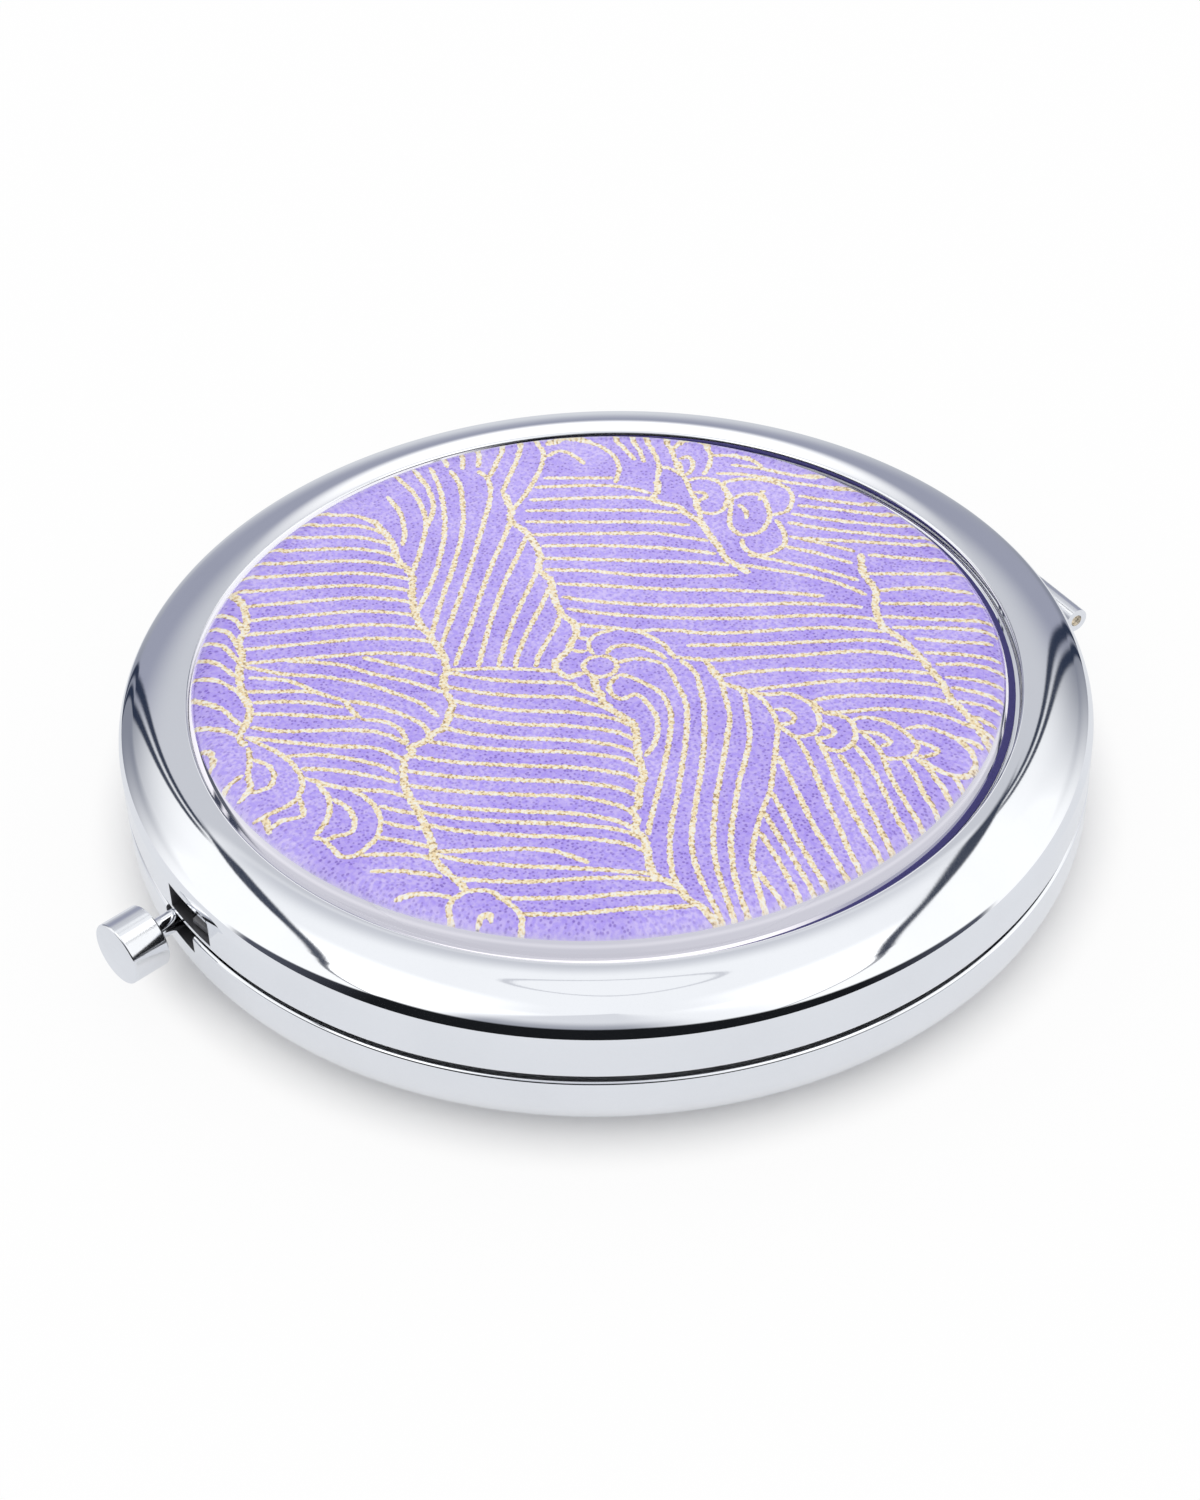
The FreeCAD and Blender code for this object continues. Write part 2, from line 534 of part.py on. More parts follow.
def lean_over(body):
    """Turn a piece of the latch with the button's axis, which crosses the wall a little left of the middle."""
    lean = FreeCAD.Rotation(FreeCAD.Vector(0, 0, 1), number("Size.latch_lean"))
    body.Placement = FreeCAD.Placement(FreeCAD.Vector(), lean)
    body.setExpression("Placement.Rotation.Angle", "Size.latch_lean * 1 deg")
    body.setExpression("Placement.Base.x", "Place.latch_x")
    body.setExpression("Placement.Base.y", "Place.latch_y")
    doc.recompute()
    return body


def turned_on_button(label, corners):
    """A piece turned about the button's axis: corners are (y, radius)."""
    return lean_over(turned(label, corners, "YZ_Plane", "H_Axis", "Place.stem_height"))


def make_button_cap():
    """Turned cap with rounded edges and a slightly crowned face, bored for the stem."""
    hole = "Size.tail_radius + Size.tail_gap"
    hole_end = "-(Place.cap_back + Size.spigot_length)"
    return turned_on_button("button_cap", [
        ("-Place.cap_back", hole),
        (hole_end, hole),
        (hole_end, "0"),
        ("-(Place.cap_front + Size.cap_crown)", "0"),
        ("-Place.cap_front", "Place.cap_face", "Place.cap_arc", RIGHT),
        ("-(Place.cap_front - Size.cap_edge)", "Size.cap_radius", "Size.cap_edge", RIGHT),
        ("-(Place.cap_back + Size.cap_edge)", "Size.cap_radius"),
        ("-Place.cap_back", "Place.cap_face", "Size.cap_edge", RIGHT),
    ])


def make_button_stem():
    """Turned stem: thin ends through the cap and the latch, a peened head behind the washer."""
    return turned_on_button("button_stem", [
        ("-(Place.cap_back + Size.spigot_length)", "0"),
        ("-(Place.cap_back + Size.spigot_length)", "Size.tail_radius"),
        ("-Place.cap_back", "Size.tail_radius"),
        ("-Place.cap_back", "Size.stem_radius"),
        ("-Place.hook_face", "Size.stem_radius"),
        ("-Place.hook_face", "Size.tail_radius"),
        ("-Place.washer_back", "Size.tail_radius"),
        ("-Place.washer_back", "Size.head_radius"),
        ("-Place.head_end", "Size.head_radius"),
        ("-Place.head_end", "0"),
    ])


def pierce_for_tail(body, face, thick):
    """Drill the hole for the stem's thin end through a flat piece."""
    sketch = new_sketch(body, "XZ_Plane", face)
    draw_circle(sketch, "0", "Place.stem_height", "Size.tail_radius + Size.tail_gap")
    cut(body, sketch, thick)


def make_latch_hook():
    """Bent plate whose nose reaches over the lid's keeper bar, with a ramp on top for closing."""
    body = new_body("latch_hook")
    sketch = new_sketch(body, "XZ_Plane", "Place.hook_back")
    draw_loop(sketch, rectangle("-Size.hook_left", "Size.hook_right", "Place.spring_low", "Place.nose_high"))
    add_pad(body, sketch, "Size.hook_thick")
    sketch = new_sketch(body, "YZ_Plane", "Size.nose_start")
    draw_loop(sketch, [
        ("-Place.hook_back", "Place.nose_low"),
        ("-Place.hook_back", "Place.nose_high"),
        ("-Place.hook_face", "Place.nose_high"),
        ("-Place.hook_tip", "Place.nose_low + Size.nose_thick"),
        ("-Place.hook_tip", "Place.nose_low"),
    ])
    add_pad(body, sketch, "Size.hook_right - Size.nose_start")
    pierce_for_tail(body, "Place.hook_face", "Size.hook_thick")
    return lean_over(body)


def make_latch_spring():
    """Flat strip from an eye on the stem to the case wall, where its end is soldered."""
    body = new_body("latch_spring")
    sketch = new_sketch(body, "XZ_Plane", "Place.spring_back")
    draw_loop(sketch, [
        ("Place.spring_end", "Place.spring_low"),
        ("Size.spring_eye", "Place.spring_low"),
        ("Size.spring_eye", "Place.spring_top"),
        ("-Size.spring_eye", "Place.spring_top"),
        ("-Size.spring_eye", "Place.spring_high"),
        ("Place.spring_end", "Place.spring_high"),
    ])
    add_pad(body, sketch, "Size.spring_thick")
    pierce_for_tail(body, "Place.hook_back", "Size.spring_thick")
    return lean_over(body)


def make_latch_washer():
    """Plain washer between the spring and the peened head."""
    body = new_body("latch_washer")
    sketch = new_sketch(body, "XZ_Plane", "Place.washer_back")
    draw_circle(sketch, "0", "Place.stem_height", "Size.washer_radius")
    add_pad(body, sketch, "Size.washer_thick")
    pierce_for_tail(body, "Place.spring_back", "Size.washer_thick")
    return lean_over(body)


pieces = [
    make_base_shell(),
    make_base_mirror_pad(),
    make_base_mirror(),
    make_ring("base_mirror_ring", "Place.base_ring_face", "Place.base_ring_back",
              "Size.shell_wall + Size.glue_gap", "Place.knuckle_far"),
    make_lid_shell(),
    make_disc("lid_mirror_pad", "Place.pad_radius", "Place.lid_mirror_back", "Place.tray_under"),
    make_disc("lid_mirror", "Place.mirror_radius", "Place.lid_ring_back", "Place.lid_mirror_back"),
    make_ring("lid_mirror_ring", "Place.lid_ring_face", "Place.lid_ring_back",
              "Place.tray_under - Size.glue_gap", "Size.middle_knuckle / 2"),
    make_disc("paper_adhesive", "Place.paper_radius", "Place.tray_floor", "Place.paper_foot"),
    make_disc("printed_paper", "Place.paper_radius", "Place.paper_foot", "Place.dome_foot"),
    make_clear_dome(),
    *make_hinge_leaves(),
    make_hinge_pin(),
    make_button_cap(),
    make_button_stem(),
    make_latch_hook(),
    make_latch_spring(),
    make_latch_washer(),
]

doc.recompute()
for item in doc.Objects:
    if "Invalid" in item.State or "Error" in item.State:
        raise RuntimeError(f"{item.Label} failed: {item.State}")
for piece in pieces:
    if piece.Shape.isNull() or not piece.Shape.isValid() or len(piece.Shape.Solids) != 1:
        raise RuntimeError(f"{piece.Label} is not one valid solid")

os.makedirs("parts", exist_ok=True)
for piece in pieces:
    piece.Shape.exportStep(f"parts/{piece.Label}.step")
    box = piece.Shape.optimalBoundingBox(False)
    print(f"{piece.Label}: {box.XLength:.2f} x {box.YLength:.2f} x {box.ZLength:.2f} mm,"
          f" z {box.ZMin:.2f} to {box.ZMax:.2f}, {piece.Shape.Volume:.2f} mm3")
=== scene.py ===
import math

import bpy
from mathutils import Matrix, Quaternion, Vector, noise


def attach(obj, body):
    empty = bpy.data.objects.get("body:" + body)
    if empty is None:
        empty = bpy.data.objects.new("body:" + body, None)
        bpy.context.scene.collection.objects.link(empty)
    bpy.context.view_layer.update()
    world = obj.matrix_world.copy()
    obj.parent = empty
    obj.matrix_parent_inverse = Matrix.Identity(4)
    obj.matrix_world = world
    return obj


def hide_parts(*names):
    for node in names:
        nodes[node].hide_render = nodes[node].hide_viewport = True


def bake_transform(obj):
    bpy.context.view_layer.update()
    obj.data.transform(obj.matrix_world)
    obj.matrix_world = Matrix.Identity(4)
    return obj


# A round compact mirror with a chrome case, lying closed. Lengths are in millimetres up to the mesh,
# which is in metres. The button faces -Y, the hinge is at +Y, and +Z is up.

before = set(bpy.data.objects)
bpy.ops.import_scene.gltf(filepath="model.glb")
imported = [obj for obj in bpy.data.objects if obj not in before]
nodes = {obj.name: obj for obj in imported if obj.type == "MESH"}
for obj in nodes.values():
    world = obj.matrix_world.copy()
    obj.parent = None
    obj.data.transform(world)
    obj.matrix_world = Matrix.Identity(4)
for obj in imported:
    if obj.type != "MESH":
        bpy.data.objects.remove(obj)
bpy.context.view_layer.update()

# Base shell
# The lower half of the case, pressed from one sheet of steel and chrome plated: a flat underside, a domed
# border and an upright wall with a slot for the button's stem and two slots for the hinge leaves.
MM = 0.001
LEFT = 1
RIGHT = -1
case_radius = 35.0
shell_wall = 0.8
wall_inner = case_radius - shell_wall
crest_radius = 30.0
edge_round = 2.0
bevel_tilt = math.radians(22)
bevel_radius = edge_round + (case_radius - crest_radius - edge_round) / math.sin(bevel_tilt)
bevel_far = crest_radius + bevel_radius * math.sin(bevel_tilt)
bevel_low = bevel_radius * (1 - math.cos(bevel_tilt))
edge_low = bevel_low + edge_round * math.cos(bevel_tilt)
inner_bevel = bevel_radius - shell_wall
inner_edge = edge_round - shell_wall
inner_far = crest_radius + inner_bevel * math.sin(bevel_tilt)
inner_fall = bevel_radius - inner_bevel * math.cos(bevel_tilt)
parting = 5.2
half_seam = 0.25
rim_round = 0.25
base_rim = parting - half_seam
stem_slot_sides = (-1.58, 2.38)
stem_slot_floor = 3.54
leaf_slot_sides = ((-9.65, -4.35), (4.35, 9.65))
leaf_slot_floor = 4.1
slack = 0.01
tiny = 1e-9
full_turn = 2 * math.pi
arc_step = math.radians(4)
sharp_angle = math.radians(40)


def outline(corners):
    """The runs of a closed outline, as pairs of (point, normal): a corner is (radius, height), or has the
    radius and turn of the arc that leads to it."""
    runs = []
    for index, corner in enumerate(corners):
        start, end = Vector(corners[index - 1][:2]), Vector(corner[:2])
        along = end - start
        if along.length < tiny:
            continue
        if len(corner) == 2:
            normal = Vector((along.y, -along.x)).normalized()
            runs.append([(start, normal), (end, normal)])
            continue
        radius, turn = corner[2:]
        aside = Vector((-along.y, along.x)) * (turn / along.length)
        centre = (start + end) / 2 + aside * math.sqrt(max(radius ** 2 - along.length_squared / 4, 0))
        spread = (start - centre).angle_signed(end - centre)
        count = max(2, math.ceil(abs(spread) / arc_step))
        run = []
        for step in range(count + 1):
            spoke = (start - centre).copy()
            spoke.rotate(Matrix.Rotation(-spread * step / count, 2))
            run.append((centre + spoke, spoke.normalized() * turn))
        run[-1] = (end, run[-1][1])
        runs.append(run)
    return runs


def turned(name, corners, openings=(), place=Matrix.Identity(4), turns=360):
    """A mesh turned about the upright axis from a closed outline, with the outline's own normals. An opening
    is (first angle, last angle, corners), where each pair of corners bounds a stretch that is left out."""
    points, edges = [], []
    for run in outline(corners):
        for (start, start_normal), (end, end_normal) in zip(run, run[1:]):
            edges.append((len(points), start_normal, end_normal))
            points.append(start)
    size = len(points)
    angles = {round(full_turn * step / turns, 9) for step in range(turns)}
    too_near = 0.3 * full_turn / turns
    for first, last, _ in openings:
        for bound in (first % full_turn, last % full_turn):
            angles = {angle for angle in angles if abs(angle - bound) > too_near}
        angles |= {round(first % full_turn, 9), round(last % full_turn, 9)}
    angles = sorted(angles)

    def nearest(corner):
        return min(range(size), key=lambda index: (points[index] - Vector(corner)).length)

    cuts = []
    for first, last, corner_list in openings:
        marks = [nearest(corner) for corner in corner_list]
        stretches = list(zip(marks[::2], marks[1::2]))
        cuts.append((round(first % full_turn, 9), round(last % full_turn, 9), stretches))

    def between(angle, following, cut):
        first, last = cut[:2]
        middle = (angle + following) / 2
        return first < middle < last if first < last else middle > first or middle < last

    vertices, numbers = [], {}

    def vertex(index, step):
        key = (index, 0 if points[index].x < tiny else step % len(angles))
        if key not in numbers:
            angle = angles[key[1]]
            point = points[index]
            spot = Vector((point.x * math.cos(angle), point.x * math.sin(angle), point.y)) * MM
            numbers[key] = len(vertices)
            vertices.append(place @ spot)
        return numbers[key]

    turn_only = place.to_3x3()

    def normal_at(normal, step):
        angle = angles[step % len(angles)]
        return turn_only @ Vector((normal.x * math.cos(angle), normal.x * math.sin(angle), normal.y))

    faces, normals = [], []

    def add_face(corner_list):
        kept = []
        for corner, normal in corner_list:
            if not kept or corner != kept[-1][0]:
                kept.append((corner, normal))
        if kept[0][0] == kept[-1][0]:
            kept.pop()
        if len(kept) > 2:
            faces.append([corner for corner, _ in kept])
            normals.extend(normal for _, normal in kept)

    def add_strip(start, end, start_normal, end_normal, step):
        add_face([
            (vertex(start, step), normal_at(start_normal, step)),
            (vertex(start, step + 1), normal_at(start_normal, step + 1)),
            (vertex(end, step + 1), normal_at(end_normal, step + 1)),
            (vertex(end, step), normal_at(end_normal, step)),
        ])

    def stretch_points(stretch):
        start, end = stretch
        return [index % size for index in range(start, end + 1 if end >= start else end + size + 1)]

    for step, angle in enumerate(angles):
        following = angles[step + 1] if step + 1 < len(angles) else angles[0] + full_turn
        open_here = [cut for cut in cuts if between(angle, following, cut)]
        gone = set()
        for cut in open_here:
            for stretch in cut[2]:
                gone |= set(stretch_points(stretch)[:-1])
            for index, stretch in enumerate(cut[2]):
                start, end = stretch[0], cut[2][index - 1][1]
                along = (points[end] - points[start]).normalized()
                normal = Vector((along.y, -along.x))
                add_strip(start, end, normal, normal, step)
        for index, start_normal, end_normal in edges:
            if index not in gone:
                add_strip(index, (index + 1) % size, start_normal, end_normal, step)
    for first, last, stretches in cuts:
        loop = [index for stretch in stretches for index in stretch_points(stretch)]
        for bound, facing, order in ((first, 1, loop[::-1]), (last, -1, loop)):
            step = min(range(len(angles)), key=lambda index: abs(angles[index] - bound))
            angle = angles[step]
            normal = turn_only @ Vector((-math.sin(angle) * facing, math.cos(angle) * facing, 0))
            add_face([(vertex(index, step), normal) for index in order])
    return finished_mesh(name, vertices, faces, normals)


def finished_mesh(name, vertices, faces, normals=None):
    """A smooth object from vertices and faces, with given corner normals or with its steep edges sharp."""
    mesh = bpy.data.meshes.new(name)
    mesh.from_pydata(vertices, [], faces)
    mesh.polygons.foreach_set("use_smooth", [True] * len(mesh.polygons))
    if normals:
        mesh.normals_split_custom_set(normals)
    else:
        mesh.set_sharp_from_angle(angle=sharp_angle)
    piece = bpy.data.objects.new(name, mesh)
    bpy.context.scene.collection.objects.link(piece)
    return piece


class Wire:
    """One output in a node tree. Arithmetic on it adds Math nodes."""

    def __init__(self, tree, socket=None):
        self.tree = tree
        self.socket = socket

    def node(self, kind, settings, values, output=0):
        """Add a node, set it up, feed its sockets with values or wires, and return one of its outputs."""
        made = self.tree.nodes.new(kind)
        for name, setting in settings.items():
            setattr(made, name, setting)
        for name, value in values.items():
            if isinstance(value, Wire):
                self.tree.links.new(value.socket, made.inputs[name])
            else:
                made.inputs[name].default_value = value
        return Wire(self.tree, made.outputs[output]) if len(made.outputs) else None

    def maths(self, operation, *terms):
        return self.node("ShaderNodeMath", {"operation": operation}, dict(enumerate(terms)))

    def __add__(self, other):
        return self.maths("ADD", self, other)

    __radd__ = __add__

    def __sub__(self, other):
        return self.maths("SUBTRACT", self, other)

    def __rsub__(self, other):
        return self.maths("SUBTRACT", other, self)

    def __mul__(self, other):
        return self.maths("MULTIPLY", self, other)

    __rmul__ = __mul__

    def __truediv__(self, other):
        return self.maths("DIVIDE", self, other)

    def __rtruediv__(self, other):
        return self.maths("DIVIDE", other, self)

    def step_up(self, low, high):
        """A smooth step from 0 at low to 1 at high."""
        settings = {"interpolation_type": "SMOOTHSTEP"}
        return self.node("ShaderNodeMapRange", settings, {"Value": self, "From Min": low, "From Max": high})

    def blend(self, low, high):
        """A colour between two others, by this value."""
        values = {"Factor": self, 6: low, 7: high}
        return self.node("ShaderNodeMix", {"data_type": "RGBA"}, values, 2)


def new_finish(name):
    """An empty material, and a wire to start its nodes from."""
    material = bpy.data.materials.new(name)
    material.use_nodes = True
    material.node_tree.nodes.clear()
    return material, Wire(material.node_tree)


def places(wire, scale, stretch=(1, 1, 1)):
    """Places on the object, in cells per millimetre."""
    spot = wire.node("ShaderNodeTexCoord", {}, {}, "Object")
    sizes = [scale / MM * factor for factor in stretch]
    return wire.node("ShaderNodeVectorMath", {"operation": "MULTIPLY"}, {0: spot, 1: sizes})


def grain(wire, scale, detail, stretch=(1, 1, 1)):
    """Noise over the object, in cells per millimetre, from 0 to 1."""
    spot = places(wire, scale, stretch)
    return wire.node("ShaderNodeTexNoise", {}, {"Vector": spot, "Scale": 1, "Detail": detail})


def relief(wire, height, depth):
    """Normals of a surface that rises by a depth in millimetres as the height goes from 0 to 1."""
    return wire.node("ShaderNodeBump", {}, {"Distance": depth * MM, "Height": height}, "Normal")


def coat(wire, values):
    """End a material's nodes in one surface with these values."""
    surface = wire.node("ShaderNodeBsdfPrincipled", {}, values)
    wire.node("ShaderNodeOutputMaterial", {}, {"Surface": surface})


def metal(name, colour, dull_colour, roughness, spread, depth, marks=(1, 1, 1)):
    """Plated or drawn metal: faint cloudy dullness, and fine marks that are stretched along the work."""
    material, wire = new_finish(name)
    clouds = grain(wire, 0.12, 4.0).step_up(0.35, 0.75)
    scratches = grain(wire, 6.0, 3.0, marks)
    coat(wire, {
        "Base Color": (clouds * 0.6 + scratches * 0.4).blend(colour, dull_colour),
        "Metallic": 1.0,
        "Roughness": roughness + (clouds + scratches) * spread,
        "Normal": relief(wire, scratches, depth),
    })
    return material


def line_inside(piece, material, upward):
    """Give a shell's inside faces and the edges of its openings a dark finish, painted as the shade inside.
    """
    slant, lip_clear = 0.3, 0.2
    piece.data.materials.append(material)
    for face in piece.data.polygons:
        corners = [piece.data.vertices[index].co for index in face.vertices]
        far = max(corner.xy.length for corner in corners) / MM
        near = min(corner.xy.length for corner in corners) / MM
        inward = face.normal.xy.dot(face.center.xy.normalized()) < -slant and near > crest_radius + lip_clear
        inside = far < wall_inner + slack and (inward or face.normal.z * upward > slant)
        if inside or near < wall_inner + slack and far > case_radius - slack:
            face.material_index = 1


def dress(piece, material, body, slot_name, *replaced):
    """Give a new piece its finish and its body, and hide the nodes that it stands for. The slot name is not
    used.
    """
    piece.data.materials.append(material)
    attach(piece, body)
    if replaced:
        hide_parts(*replaced)


def wall_span(left, right, front=True):
    """The angles about the upright axis of an opening in the wall, between two places along X."""
    start, end = math.asin(left / case_radius), math.asin(right / case_radius)
    if front:
        return start - math.pi / 2, end - math.pi / 2
    return math.pi / 2 - end, math.pi / 2 - start


def slot_corners(height):
    """Where an upright wall's outline enters and leaves a slot that is open at the rim."""
    return [(case_radius, height), (wall_inner, height)]


base_openings = [(*wall_span(*stem_slot_sides), slot_corners(stem_slot_floor))]
for left, right in leaf_slot_sides:
    base_openings.append((*wall_span(left, right, front=False), slot_corners(leaf_slot_floor)))
base_shell = turned("base_shell_plated", [
    (0, 0),
    (crest_radius, 0),
    (bevel_far, bevel_low, bevel_radius, LEFT),
    (case_radius, edge_low, edge_round, LEFT),
    (case_radius, stem_slot_floor),
    (case_radius, leaf_slot_floor),
    (case_radius, base_rim - rim_round),
    (case_radius - rim_round, base_rim, rim_round, LEFT),
    (wall_inner, base_rim),
    (wall_inner, leaf_slot_floor),
    (wall_inner, stem_slot_floor),
    (wall_inner, edge_low),
    (inner_far, inner_fall, inner_edge, RIGHT),
    (crest_radius, shell_wall, inner_bevel, RIGHT),
    (0, shell_wall),
], base_openings)
chrome = metal(
    "polished_chrome", (0.925, 0.935, 0.955, 1), (0.88, 0.89, 0.91, 1),
    roughness=0.02, spread=0.02, depth=0.0002,
)
dress(base_shell, chrome, "base", "chrome_case", "base_shell")
# painted shade: dark grey steel on the inside faces and the edges of the openings stands in for the shade
# inside the case
painted_shade_steel = metal(
    "painted_shade_inside", (0.28, 0.28, 0.3, 1), (0.16, 0.16, 0.17, 1),
    roughness=0.35, spread=0.15, depth=0.004,
)
line_inside(base_shell, painted_shade_steel, 1)

# Mirrors, pads and rings
# Each half holds a round glass mirror, silvered at the back, on a foam pad. A moulded ring, coated silver,
# clips over its edge and covers the channel at the wall. The mirror in the base is dished to magnify.
mirror_radius = 29.5
dish = 0.6
dish_arc = (mirror_radius ** 2 + dish ** 2) / (2 * dish)
base_mirror_edge = (2.85, 4.05)
lid_mirror_faces = (6.35, 7.55)
arris = 0.15
base_mirror = turned("base_mirror_glass", [
    (0, base_mirror_edge[0] - dish),
    (mirror_radius, base_mirror_edge[0], dish_arc, LEFT),
    (mirror_radius, base_mirror_edge[1]),
    (0, base_mirror_edge[1] - dish, dish_arc, RIGHT),
])
lid_mirror = turned("lid_mirror_glass", [
    (0, lid_mirror_faces[0]),
    (mirror_radius - arris, lid_mirror_faces[0]),
    (mirror_radius, lid_mirror_faces[0] + arris),
    (mirror_radius, lid_mirror_faces[1]),
    (0, lid_mirror_faces[1]),
])
silvered, wire = new_finish("silvered_glass")
dust = grain(wire, 0.5, 5.0).step_up(0.45, 0.9)
coat(wire, {
    "Base Color": dust.blend((0.92, 0.93, 0.94, 1), (0.87, 0.89, 0.9, 1)),
    "Metallic": 1.0,
    "Roughness": 0.01 + dust * 0.02,
    "Coat Weight": 0.6,
    "Coat Roughness": 0.01,
})
dress(base_mirror, silvered, "base", "mirror_glass", "base_mirror")
dress(lid_mirror, silvered, "lid", "mirror_glass", "lid_mirror")

ring_coat, wire = new_finish("silver_coated_plastic")
flakes = grain(wire, 12.0, 2.0)
coat(wire, {
    "Base Color": flakes.blend((0.66, 0.67, 0.69, 1), (0.8, 0.81, 0.83, 1)),
    "Metallic": 0.75,
    "Roughness": 0.26 + flakes * 0.12,
    "Normal": relief(wire, flakes, 0.004),
})


def dots(wire, scale):
    """Distance from the middles of scattered dots, in cells per millimetre."""
    values = {"Vector": places(wire, scale), "Scale": 1, "Randomness": 0.8}
    return wire.node("ShaderNodeTexVoronoi", {}, values, "Distance")


foam, wire = new_finish("white_foam")
cells = dots(wire, 4.0)
coat(wire, {
    "Base Color": cells.blend((0.62, 0.62, 0.6, 1), (0.86, 0.86, 0.84, 1)),
    "Roughness": 0.9,
    "Normal": relief(wire, cells, 0.05),
})


def coat_node(name, material):
    """Give a node of the frame its finish."""
    for slot in nodes[name].material_slots:
        slot.material = material


for name, material in (
    ("base_mirror_ring", ring_coat),
    ("lid_mirror_ring", ring_coat),
    ("base_mirror_pad", foam),
    ("lid_mirror_pad", foam),
):
    coat_node(name, material)

# Hinge
# Three leaves of plated strip are soldered inside the wall, pass through it and curl round a drawn brass
# pin: two on the base and one between them on the lid.
plated_strip = metal(
    "plated_strip", (0.92, 0.93, 0.95, 1), (0.84, 0.85, 0.87, 1),
    roughness=0.08, spread=0.06, depth=0.002, marks=(0.15, 1, 1),
)
brass = metal(
    "drawn_brass", (0.86, 0.75, 0.57, 1), (0.72, 0.6, 0.43, 1),
    roughness=0.35, spread=0.1, depth=0.003, marks=(0.1, 1, 1),
)
for name in ("base_hinge_leaf_left", "base_hinge_leaf_right", "lid_hinge_leaf"):
    coat_node(name, plated_strip)
coat_node("hinge_pin", brass)

# Push button
# A turned cap sits on a turned stem that crosses the base wall, leaning ten degrees in plan. Inside, the
# stem carries a bent hook plate, the eye of a flat spring and a washer, held by its peened end.
lean = math.radians(10)
button_crossing = Vector((-0.4, -case_radius, 4.47))
button_out = Vector((math.sin(lean), -math.cos(lean), 0))
button_turn = button_out.to_track_quat("Z", "Y").to_matrix().to_4x4()
button_place = Matrix.Translation(button_crossing * MM) @ button_turn
cap_radius = 2.3
cap_back, cap_front = 2.0, 4.9
cap_edge = 0.15
cap_crown = 0.15
cap_face = cap_radius - cap_edge
cap_arc = (cap_face ** 2 + cap_crown ** 2) / (2 * cap_crown)
tail_radius = 0.5
spigot_end = 4.0
stem_radius = 0.78
button_cap = turned("button_cap_turned", [
    (tail_radius, spigot_end),
    (tail_radius, cap_back),
    (cap_face, cap_back),
    (cap_radius, cap_back + cap_edge, cap_edge, LEFT),
    (cap_radius, cap_front - cap_edge),
    (cap_face, cap_front, cap_edge, LEFT),
    (0, cap_front + cap_crown, cap_arc, LEFT),
    (0, spigot_end),
], place=button_place, turns=128)
hook_face, washer_back, head_end = -1.9, -2.85, -3.1
head_radius = 0.9
button_stem = turned("button_stem_turned", [
    (0, head_end),
    (head_radius, head_end),
    (head_radius, washer_back),
    (tail_radius, washer_back),
    (tail_radius, hook_face),
    (stem_radius, hook_face),
    (stem_radius, cap_back),
    (tail_radius, cap_back),
    (tail_radius, spigot_end),
    (0, spigot_end),
], place=button_place, turns=64)
turned_chrome = metal(
    "turned_chrome", (0.92, 0.93, 0.95, 1), (0.84, 0.85, 0.87, 1),
    roughness=0.05, spread=0.05, depth=0.001, marks=(0.1, 1, 1),
)
dress(button_cap, turned_chrome, "button", "chrome_fittings", "button_cap")
dress(button_stem, turned_chrome, "button", "chrome_fittings", "button_stem")
strip_steel = metal(
    "strip_steel", (0.3, 0.3, 0.31, 1), (0.18, 0.18, 0.19, 1),
    roughness=0.25, spread=0.15, depth=0.003, marks=(0.1, 1, 1),
)
for name in ("latch_hook", "latch_washer"):
    coat_node(name, strip_steel)

# Latch spring
# A thin strip of spring steel whose end is soldered to the wall. In the real case it bends when the button
# is pressed, so its eye follows the stem while its end stays with the base; here it is one fixed, unbent
# strip.
hook_back = -2.4
spring_thick = 0.15
spring_low, spring_high, spring_top = 2.633, 3.8, 5.37
spring_eye = 1.35
spring_end = -5.45
spring_steps = 48
side_axis = Vector((math.cos(lean), math.sin(lean), 0))
spring_length = spring_eye - spring_end
spring_spots = [spring_end + spring_length * step / spring_steps for step in range(spring_steps + 1)]
vertices, faces = [], []
for spot in spring_spots:
    top = spring_top if spot >= -spring_eye - slack else spring_high
    for depth in (hook_back, hook_back - spring_thick):
        for height in (spring_low, top):
            foot = button_crossing + side_axis * spot + button_out * depth
            vertices.append(Vector((foot.x, foot.y, height)) * MM)
for index in range(len(spring_spots) - 1):
    here, there = 4 * index, 4 * index + 4
    for a, b in ((0, 1), (1, 3), (3, 2), (2, 0)):
        faces.append([here + a, here + b, there + b, there + a])
faces += [[2, 3, 1, 0], [len(vertices) - 4 + corner for corner in (0, 1, 3, 2)]]
latch_spring = finished_mesh("latch_spring_strip", vertices, faces)
latch_spring.data.materials.append(strip_steel)
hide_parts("latch_spring")
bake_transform(latch_spring)

# Lid shell
# The upper half of the case, pressed and plated like the base: a shallow round tray, a rounded lip, a domed
# border, and an upright wall with a hinge slot and a window for the latch, whose lower bar is the keeper.
lid_top = 10.8
tray_floor = 9.8
tray_radius = 29.8
tray_corner = 0.2
lip_round = 0.2
lid_rim = parting + half_seam
tray_under = tray_floor - shell_wall
tray_outside = tray_radius + shell_wall
crest_low = bevel_radius - math.sqrt(inner_bevel ** 2 - (tray_outside - crest_radius) ** 2)
window_sides = (-0.29, 4.8)
window_low, window_high = 5.95, 8.05
lid_slot_sides = (-4.35, 4.35)
lid_slot_top = 6.3
window_corners = [
    (case_radius, window_low),
    (case_radius, window_high),
    (wall_inner, window_high),
    (wall_inner, window_low),
]
lid_slot_corners = [(wall_inner, lid_slot_top), (case_radius, lid_slot_top)]
